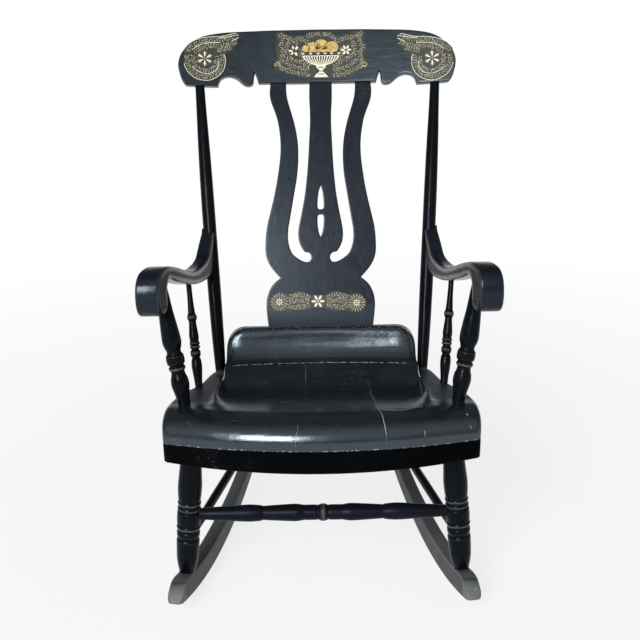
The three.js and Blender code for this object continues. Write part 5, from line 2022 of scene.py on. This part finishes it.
@dataclass
class Arms:
    """The scrolled arms on their turned posts and spindles."""

    rear: float = 484.0
    front: float = 24.0
    rear_half_width: float = 231.0
    front_half_width: float = 295.5
    rear_thickness: float = 26.0
    front_thickness: float = 42.0
    scroll_top: float = 667.5
    scroll_drop: float = 80.0
    easing: float = 5.0
    sawn_matt: float = -0.8
    sunk_foot: float = 6.0
    sunk_head: float = 8.0
    side_table: Table = (
        (0.0113, 0.309), (0.05, 0.452), (0.091, 0.605), (0.13, 0.77), (0.159, 0.877),
        (0.209, 0.932), (0.259, 0.938), (0.346, 0.907), (0.43, 0.822), (0.517, 0.665),
        (0.604, 0.48), (0.685, 0.305), (0.765, 0.15), (0.815, 0.065), (0.865, 0.012), (0.915, 0),
        (0.948, 0.025), (0.976, 0.123), (0.993, 0.272), (1, 0.457), (0.999, 0.63), (0.987, 0.827),
        (0.965, 0.944), (0.939, 0.994), (0.913, 0.994), (0.891, 0.951), (0.878, 0.864),
        (0.874, 0.654), (0.87, 0.506), (0.854, 0.407), (0.825, 0.358), (0.724, 0.568),
        (0.593, 0.84), (0.446, 1.123), (0.335, 1.284), (0.224, 1.395), (0.13, 1.43), (0.078, 1.36),
    )
    post_foot: Triple = (248.4, 74.0, 413.0)
    post_head: Triple = (283.0, 99.0, 636.5)
    post_radius: float = 17.3
    post_table: Table = (
        (0, 0.65), (0.06, 0.72), (0.12, 0.86), (0.17, 0.95), (0.21, 0.9), (0.245, 0.76),
        (0.268, 0.71), (0.28, 0.76), (0.29, 0.86), (0.3, 0.89), (0.31, 0.86), (0.319, 0.76),
        (0.326, 0.78), (0.34, 0.93), (0.37, 0.97), (0.402, 0.93), (0.417, 0.8), (0.432, 0.74),
        (0.45, 0.78), (0.475, 0.9), (0.52, 1), (0.62, 0.92), (0.75, 0.77), (0.88, 0.69),
        (0.97, 0.63), (1, 0.62),
    )
    spindle_foot: Triple = (240.0, 235.0, 379.5)
    spindle_head: Triple = (257.5, 300.0, 572.0)
    spindle_radius: float = 10.5
    spindle_table: Table = (
        (0, 0.68), (0.08, 0.76), (0.15, 0.9), (0.211, 0.98), (0.262, 0.92), (0.29, 0.74),
        (0.297, 0.72), (0.306, 0.88), (0.334, 0.97), (0.358, 0.9), (0.367, 0.74), (0.374, 0.72),
        (0.383, 0.92), (0.394, 0.98), (0.404, 0.92), (0.412, 0.78), (0.42, 0.94), (0.43, 0.98),
        (0.44, 0.9), (0.448, 0.82), (0.493, 0.9), (0.56, 0.8), (0.638, 0.68), (0.652, 0.76),
        (0.664, 0.88), (0.68, 0.93), (0.696, 0.88), (0.708, 0.76), (0.722, 0.68), (0.93, 0.5),
        (1, 0.5),
    )

    def arm(self, side: Side) -> Form:
        """An arm sawn in side view, widening and leaning out to its scroll.

        The middle line and the width both run evenly from rear to front, and the edges are
        eased.

        Args:
            side: which arm.

        Returns:
            The form.
        """
        table = np.array(self.side_table)
        depth = mix(self.rear, self.front, table[:, 0])
        flat = np.stack([depth, self.scroll_top - table[:, 1] * self.scroll_drop], axis=1)
        ring = outline(flat, [0, len(flat) - 1], spacing=3.4)

        def place(flat: Array, face: float, sink: float) -> Array:
            """Puts points of the side view on a side of the leaning arm.

            Args:
                flat: the points, as depth and height.
                face: the side.
                sink: how far beneath it they lie.

            Returns:
                The points in the chair.
            """
            depth, height = flat[:, 0], flat[:, 1]
            share = (self.rear - depth) / (self.rear - self.front)
            centre = mix(self.rear_half_width, self.front_half_width, share)
            width = mix(self.rear_thickness, self.front_thickness, share)
            x = side.value * centre + face * (width / 2 - sink)
            return spots(x, depth, height)

        form = board([ring], place, self.easing, spacing=8.0, steps=5)
        form.wear = np.where(form.wear == 0, self.sawn_matt, form.wear)
        return form

    def build(self, shop: Workshop, finishes: Finishes) -> None:
        """Makes the arms' pieces.

        Args:
            shop: makes pieces of forms.
            finishes: the materials.
        """
        post = (self.post_foot, self.post_head, self.post_table, self.post_radius)
        spindle = self.spindle_foot, self.spindle_head, self.spindle_table, self.spindle_radius
        turned = (("arm_post", "arm_post", *post), ("spindle", "arm_spindle", *spindle))
        for side in Side:
            label, turn = side.label, np.array([side.value, 1, 1])
            shop.piece(f"scrolled_arm_{label}", self.arm(side), finishes.arms, f"arm_{label}")
            for name, node, foot, head, table, radius in turned:
                pose = Pose(np.array(foot) * turn, np.array(head) * turn)
                form = turning(pose, table, radius, self.sunk_foot, self.sunk_head)
                shop.piece(f"turned_{name}_{label}", form, finishes.turned, f"{node}_{label}")


# Base


@dataclass
class Base:
    """The turned legs and stretchers on two bowed rockers."""

    seat: Seat
    front_radius: float = 800.0
    rear_radius: float = 900.0
    height: float = 42.0
    thickness: float = 31.0
    tail_thickness: float = 25.0
    contact_depth: float = 245.0
    contact_half_width: float = 233.5
    toe: float = math.radians(11.2)
    front_facets: int = 9
    rear_facets: int = 18
    facet: float = 24.8
    height_table: Table = ((0, 1), (0.4, 1), (0.62, 0.86), (0.85, 0.72), (1, 0.58))
    nose_table: Table = (
        (0.1, 0.03), (0.13, 0.1), (0.05, 0.19), (-0.14, 0.39), (-0.38, 0.57), (-0.67, 0.7),
    )
    tail_table: Table = (
        (0.18, 0.04), (0.34, 0.17), (0.43, 0.38), (0.42, 0.62), (0.33, 0.83), (0.16, 0.96),
    )
    front_foot_depth: float = 90.0
    front_head: Pair = (238.6, 85.0)
    front_leg_radius: float = 22.8
    front_leg_table: Table = (
        (0, 0.65), (0.02, 0.69), (0.052, 0.79), (0.105, 0.9), (0.152, 0.934), (0.226, 0.965),
        (0.24, 0.955), (0.25, 0.87), (0.257, 0.86), (0.265, 0.93), (0.28, 0.967), (0.296, 0.965),
        (0.307, 0.9), (0.313, 0.9), (0.323, 0.97), (0.333, 1), (0.341, 0.96), (0.347, 0.91),
        (0.355, 0.975), (0.397, 1), (0.438, 0.98), (0.446, 0.9), (0.452, 0.93), (0.462, 0.975),
        (0.472, 0.93), (0.481, 0.88), (0.49, 0.93), (0.502, 0.975), (0.511, 0.92), (0.517, 0.89),
        (0.529, 0.935), (0.57, 0.98), (0.615, 1), (0.68, 0.955), (0.752, 0.895), (0.86, 0.75),
        (0.96, 0.57), (1, 0.57),
    )
    rear_foot_depth: float = 515.0
    rear_head: Pair = (158.0, 372.0)
    rear_leg_radius: float = 18.0
    rear_leg_table: Table = (
        (0, 0.74), (0.08, 0.86), (0.28, 0.94), (0.3, 0.9), (0.312, 0.86), (0.325, 0.93),
        (0.34, 0.96), (0.357, 0.92), (0.37, 0.88), (0.385, 0.96), (0.45, 1), (0.515, 0.96),
        (0.53, 0.9), (0.545, 0.95), (0.56, 0.97), (0.577, 0.93), (0.59, 0.88), (0.62, 0.93),
        (0.75, 0.98), (0.93, 0.66), (1, 0.66),
    )
    bar_height: float = 182.0
    bar_radius: float = 16.5
    bar_table: Table = (
        (0, 1), (0.012, 0.98), (0.028, 0.9), (0.04, 0.83), (0.055, 0.87), (0.1, 0.88),
        (0.145, 0.87), (0.158, 0.9), (0.21, 1), (0.32, 0.93), (0.445, 0.82), (0.46, 0.8),
        (0.475, 0.88), (0.56, 0.98), (0.7, 0.88), (0.84, 0.76), (0.92, 0.68), (1, 0.66),
    )
    side_bar_heights: Pair = (126.0, 133.0)
    side_bar_radius: float = 9.0
    rear_bar_height: float = 158.0
    rear_bar_radius: float = 9.5
    plain_table: Table = ((0, 1), (0.4, 0.98), (0.7, 0.9), (0.88, 0.8), (1, 0.8))
    nose_rounding: float = 13.0
    nose_wear: Pair = (22.0, 52.0)
    # How far under the rocker's top its painted sheen band reaches, in millimetres.
    painted_sheen_depth: float = 4.0

    @property
    def start(self) -> float:
        """The reach of the rocker's first facet, ahead of its contact."""
        return -(self.front_facets + 0.5) * self.facet

    @property
    def end(self) -> float:
        """The reach of its last facet, behind its contact."""
        return (self.rear_facets + 0.5) * self.facet

    def curve(self, reach: Array) -> Array:
        """A parabola of the reach, which is zero at the ends of the facet at the contact."""
        radius = np.where(reach < 0, self.front_radius, self.rear_radius)
        return (reach**2 - (self.facet / 2) ** 2) / (2 * radius)

    def under(self, reach: Array) -> Array:
        """The rocker's underside: the curve, flat at the contact."""
        return np.maximum(self.curve(reach), 0)

    def share(self, reach: Array) -> Array:
        """How far along the rocker a reach is."""
        return (reach - self.start) / (self.end - self.start)

    def upper(self, reach: Array) -> Array:
        """The rocker's top: the curve and the height that the table gives."""
        return self.curve(reach) + self.height * rising(self.height_table, self.share(reach))

    def half_width(self, depth: float) -> float:
        """How far out the rocker's middle line is at a depth."""
        return self.contact_half_width + (self.contact_depth - depth) * math.tan(self.toe)

    def rocker(self, side: Side) -> Form:
        """A bowed rocker: its side view, as thick as its width allows, and toed in.

        Near its front end the thickness falls off as a circle, which rounds the nose.

        Args:
            side: which rocker.

        Returns:
            The form.
        """
        low_reach = np.linspace(self.start, self.end, 150)
        low = np.stack([low_reach, self.under(low_reach)], axis=1)
        last = np.array([self.end])
        tall = float(self.upper(last)[0] - self.under(last)[0])
        tail = np.array(self.tail_table) * tall + [self.end, low[-1, 1]]
        high_reach = np.linspace(self.start + 2 * self.facet, self.end, 130)[::-1]
        high = np.stack([high_reach, self.upper(high_reach)], axis=1)
        nose = np.array(self.nose_table[::-1]) * [-self.height, self.height]
        nose = nose + [self.start, low[0, 1]]
        whole = np.vstack([low, tail, high, nose])
        ring = outline(whole, [0], spacing=3.6)
        tip = ring[:, 0].min()

        def place(flat: Array, face: float, sink: float) -> Array:
            """Puts points of the side view on a side of the toed-in rocker.

            Args:
                flat: the points, as reach and height.
                face: the side.
                sink: how far beneath it they lie.

            Returns:
                The points in the chair.
            """
            reach, height = flat[:, 0], flat[:, 1]
            thick = mix(self.thickness, self.tail_thickness, self.share(reach)) / 2
            near = np.clip(1 - (reach - tip) / self.nose_rounding, 0, 1)
            thick = thick - 0.8 * self.nose_rounding * eased(near)
            across = face * (thick - sink)
            cos, sin = math.cos(self.toe), math.sin(self.toe) * side.value
            x = side.value * self.contact_half_width + across * cos - reach * sin
            depth = self.contact_depth + across * sin + reach * cos
            return spots(x, depth, height)

        form = board([ring], place, round_edge=3.0, spacing=7.0)
        depth, height = form.points[:, 1], form.points[:, 2]
        ahead = 1 - smoothstep(depth, *self.nose_wear)
        reach = depth - self.contact_depth
        # The band just under the top is painted paler: a painted sheen of light on the rocker's
        # top. The paler nose is rub wear.
        upper = height > self.upper(reach) - self.painted_sheen_depth
        form.wear = np.maximum(form.wear, np.maximum(0.58 * ahead, 0.42 * upper))
        return form

    def leg(self, side: Side, foot_depth: float, head: Pair) -> Pose:
        """Where a leg's axis runs, from the rocker's top to the seat's underside.

        Args:
            side: which side.
            foot_depth: the depth of its foot.
            head: the half width and the depth of its head.

        Returns:
            The pose.
        """
        reach = (foot_depth - self.contact_depth) / math.cos(self.toe)
        level = float(self.upper(np.array([reach]))[0])
        foot = np.array([side.value * self.half_width(foot_depth), foot_depth, level])
        ceiling = float(self.seat.underside(head[1]))
        return Pose(foot, np.array([side.value * head[0], head[1], ceiling]))

    def bar(self, start: Array, end: Array, table: Table, radius: float, inset: float = 8) -> Form:
        """A stretcher, turned the same both ways from its middle.

        Args:
            start: one end, on a leg's axis.
            end: the other end.
            table: shares of half length and of radius, from the middle out.
            radius: its greatest radius.
            inset: how far from the axes its ends stand.

        Returns:
            The form.
        """
        span = np.linalg.norm(end - start)
        way = (end - start) / span
        whole = Pose(start + inset * way, end - inset * way)
        half = [(0.5 + place / 2, size) for place, size in table]
        mirrored = [(1 - place, size) for place, size in half[:0:-1]]
        return turning(whole, mirrored + half, radius, below=0, above=0)

    def build(self, shop: Workshop, finishes: Finishes) -> None:
        """Makes the base's pieces.

        Args:
            shop: makes pieces of forms.
            finishes: the materials.
        """
        fronts, rears = {}, {}
        for side in Side:
            label = side.label
            form = self.rocker(side)
            shop.piece(f"bowed_rocker_{label}", form, finishes.rockers, f"rocker_{label}")
            front = self.leg(side, self.front_foot_depth, self.front_head)
            rear = self.leg(side, self.rear_foot_depth, self.rear_head)
            fronts[side], rears[side] = front, rear
            form = turning(front, self.front_leg_table, self.front_leg_radius, below=7, above=4)
            shop.piece(f"turned_front_leg_{label}", form, finishes.turned, f"front_leg_{label}")
            form = turning(rear, self.rear_leg_table, self.rear_leg_radius, below=9, above=4)
            shop.piece(f"turned_rear_leg_{label}", form, finishes.turned, f"rear_leg_{label}")
            first, second = self.side_bar_heights
            ends = front.at_height(first), rear.at_height(second)
            form = self.bar(*ends, self.plain_table, self.side_bar_radius)
            shop.piece(f"turned_side_bar_{label}", form, finishes.bars, f"side_stretcher_{label}")
        ends = [fronts[side].at_height(self.bar_height) for side in Side]
        form = self.bar(*ends, self.bar_table, self.bar_radius)
        shop.piece("turned_front_bar", form, finishes.bars, "front_stretcher")
        ends = [rears[side].at_height(self.rear_bar_height) for side in Side]
        form = self.bar(*ends, self.plain_table, self.rear_bar_radius, inset=4)
        shop.piece("turned_rear_bar", form, finishes.bars, "rear_stretcher")


# Carried-over parts


def dress_hidden(nodes: dict[str, bpy.types.Object], finishes: Finishes) -> None:
    """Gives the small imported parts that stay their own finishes.

    Args:
        nodes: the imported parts.
        finishes: the materials.
    """
    looks = {
        "dowel": finishes.wood,
        "rocker_pin": finishes.rockers,
        "crest_pin": finishes.back,
        "arm_screw_plug": finishes.turned,
        "arm_screw": finishes.steel,
    }
    for name, node in nodes.items():
        found = next((look for key, look in looks.items() if key in name), None)
        if found is None or node.hide_render:
            continue
        node.data.materials.clear()
        node.data.materials.append(found)
        LOG.info("%s: %s", name, found.name)


# Studio


@dataclass
class Studio:
    """The pale floor, the soft light and the camera at the photograph's angle."""

    shift: float
    camera_across: float = 7.72
    camera_depth: float = -1774.39
    camera_height: float = 1184.9
    pitch: float = 18.42
    yaw: float = -0.24
    roll: float = -0.93
    focal_pixels: float = 1102.36
    image_pixels: float = 640.0
    sensor: float = 36.0
    floor_size: float = 45.0
    floor_near: float = 0.6
    floor_far: float = 2.4
    floor_share: float = 0.8
    fill: float = 0.28
    lamp_spot: Triple = (-1.80, -5.18, 2.94)
    lamp_size: Pair = (1.9, 2.4)
    lamp_aim: Triple = (0.0, 0.0, 0.5)
    radiance: float = 27.0

    def camera(self) -> None:
        """Stands the camera where the photograph's perspective puts it.

        Its forward way is the pitch down and the yaw aside, and its own right and up ways are
        then turned by the roll.
        """
        pitch, yaw, roll = (math.radians(turn) for turn in (self.pitch, self.yaw, self.roll))
        level, aside = math.cos(pitch), math.sin(yaw)
        ahead = np.array([aside * level, math.cos(yaw) * level, -math.sin(pitch)])
        right = np.array([math.cos(yaw), -aside, 0.0])
        up = np.cross(right, ahead)
        turned_right = right * math.cos(roll) + up * math.sin(roll)
        turned_up = up * math.cos(roll) - right * math.sin(roll)
        data = bpy.data.cameras.new("photo_camera")
        data.sensor_width = self.sensor
        data.sensor_fit = "HORIZONTAL"
        data.lens = self.focal_pixels / self.image_pixels * self.sensor
        data.clip_end = 60
        item = bpy.data.objects.new("photo_camera", data)
        place = np.eye(4)
        place[:3, 0], place[:3, 1], place[:3, 2] = turned_right, turned_up, -ahead
        spot = [self.camera_across, self.camera_depth + self.shift, self.camera_height]
        place[:3, 3] = np.array(spot) * MILLIMETRE
        item.matrix_world = Matrix(place.tolist())
        bpy.context.scene.collection.objects.link(item)
        bpy.context.scene.camera = item

    def seen(self, web: Web) -> Socket:
        """One for rays from the camera, from gloss and through glass.

        Args:
            web: the material or world in work.

        Returns:
            The value output.
        """
        path = web.add("ShaderNodeLightPath").outputs
        both = web.calc("MAXIMUM", path["Is Camera Ray"], path["Is Glossy Ray"])
        return web.calc("MAXIMUM", both, path["Is Transmission Ray"])

    def floor(self) -> None:
        """Lays the pale floor, which keeps the chair's shadow and turns white far out."""
        web = Web(bpy.data.materials.new("pale_floor"))
        even = web.place((1, 1, 1))
        tone = web.noise(even, 3, 3)
        colour = web.blend(web.span(tone, 0.3, 0.7, 0, 1), (0.8, 0.8, 0.8), (0.83, 0.83, 0.83))
        reach = web.add("ShaderNodeVectorMath", {0: even}, operation="LENGTH").outputs["Value"]
        far = web.span(reach, self.floor_near, self.floor_far, self.floor_share, 1)
        diffuse = web.add("ShaderNodeBsdfDiffuse", {"Color": colour}).outputs["BSDF"]
        glow = web.add("ShaderNodeEmission", {"Color": (1, 1, 1, 1), "Strength": 1.0})
        share = web.calc("MULTIPLY", self.seen(web), far)
        inputs = {"Fac": share, 1: diffuse, 2: glow.outputs["Emission"]}
        both = web.add("ShaderNodeMixShader", inputs).outputs["Shader"]
        web.add("ShaderNodeOutputMaterial", {"Surface": both})
        size = self.floor_size
        corners = [(-size, -size, 0), (size, -size, 0), (size, size, 0), (-size, size, 0)]
        mesh = bpy.data.meshes.new("studio_floor")
        mesh.from_pydata(corners, [], [(0, 1, 2, 3)])
        mesh.materials.append(web.owner)
        item = bpy.data.objects.new("studio_floor", mesh)
        bpy.context.scene.collection.objects.link(item)

    def world(self) -> None:
        """Fills the surroundings with soft light, and with white where they are seen.

        What gloss sees above the horizon is a studio's: dim overhead behind the chair, and
        before it brighter with the direction's height.
        """
        world = bpy.data.worlds.new("soft_studio")
        bpy.context.scene.world = world
        web = Web(world)
        way = web.add("ShaderNodeTexCoord").outputs["Generated"]
        parts = web.add("ShaderNodeSeparateXYZ", {"Vector": way})
        behind = web.span(parts.outputs["Y"], -0.5, 0.1, 0, 1)
        before = web.calc("SUBTRACT", 1.0, behind)
        rear = web.calc("MULTIPLY", behind, web.span(parts.outputs["Z"], 0.0, 0.2, 1, 0.1))
        front = web.calc("MULTIPLY", before, web.span(parts.outputs["Z"], 0.02, 0.42, 0.17, 0.68))
        straight = web.add("ShaderNodeLightPath").outputs["Is Camera Ray"]
        shown = web.calc("MAXIMUM", web.calc("ADD", rear, front), straight)
        bright = web.calc("MULTIPLY", shown, self.seen(web))
        rest = web.calc("MULTIPLY", web.calc("SUBTRACT", 1.0, self.seen(web)), self.fill)
        light = {"Color": (1, 1, 1, 1), "Strength": web.calc("ADD", bright, rest)}
        sky = web.add("ShaderNodeBackground", light).outputs["Background"]
        web.add("ShaderNodeOutputWorld", {"Surface": sky})

    def lamp(self) -> None:
        """Hangs the soft window lamp that faces the seat.

        Its power is its radiance times its area times pi.
        """
        spot = Vector(self.lamp_spot)
        data = bpy.data.lights.new("window_lamp", "AREA")
        data.shape = "RECTANGLE"
        wide, tall = self.lamp_size
        data.size, data.size_y = wide, tall
        data.energy = self.radiance * wide * tall * math.pi
        item = bpy.data.objects.new("window_lamp", data)
        item.location = spot
        item.rotation_euler = (Vector(self.lamp_aim) - spot).to_track_quat("-Z", "Y").to_euler()
        bpy.context.scene.collection.objects.link(item)

    def build(self) -> None:
        """Sets up the studio."""
        self.camera()
        self.floor()
        self.world()
        self.lamp()
        bpy.context.scene.view_settings.view_transform = "Standard"


def main() -> None:
    """Builds the chair's pieces in order, and then the studio around them."""
    logging.basicConfig(level=logging.INFO, format="%(message)s")
    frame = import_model()
    seat = Seat()
    rear_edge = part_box("seat_plank")[1].y / MILLIMETRE
    shift = rear_edge - seat.depth
    shop = Workshop(shift)
    finishes = Finishes()
    back = Back()
    seat.build(shop, finishes)
    back.build(shop, finishes)
    Ornament(back).build(shop, finishes)
    Arms().build(shop, finishes)
    Base(seat).build(shop, finishes)
    dress_hidden(frame["nodes"], finishes)
    Studio(shift).build()


if __name__ == "__main__":
    main()
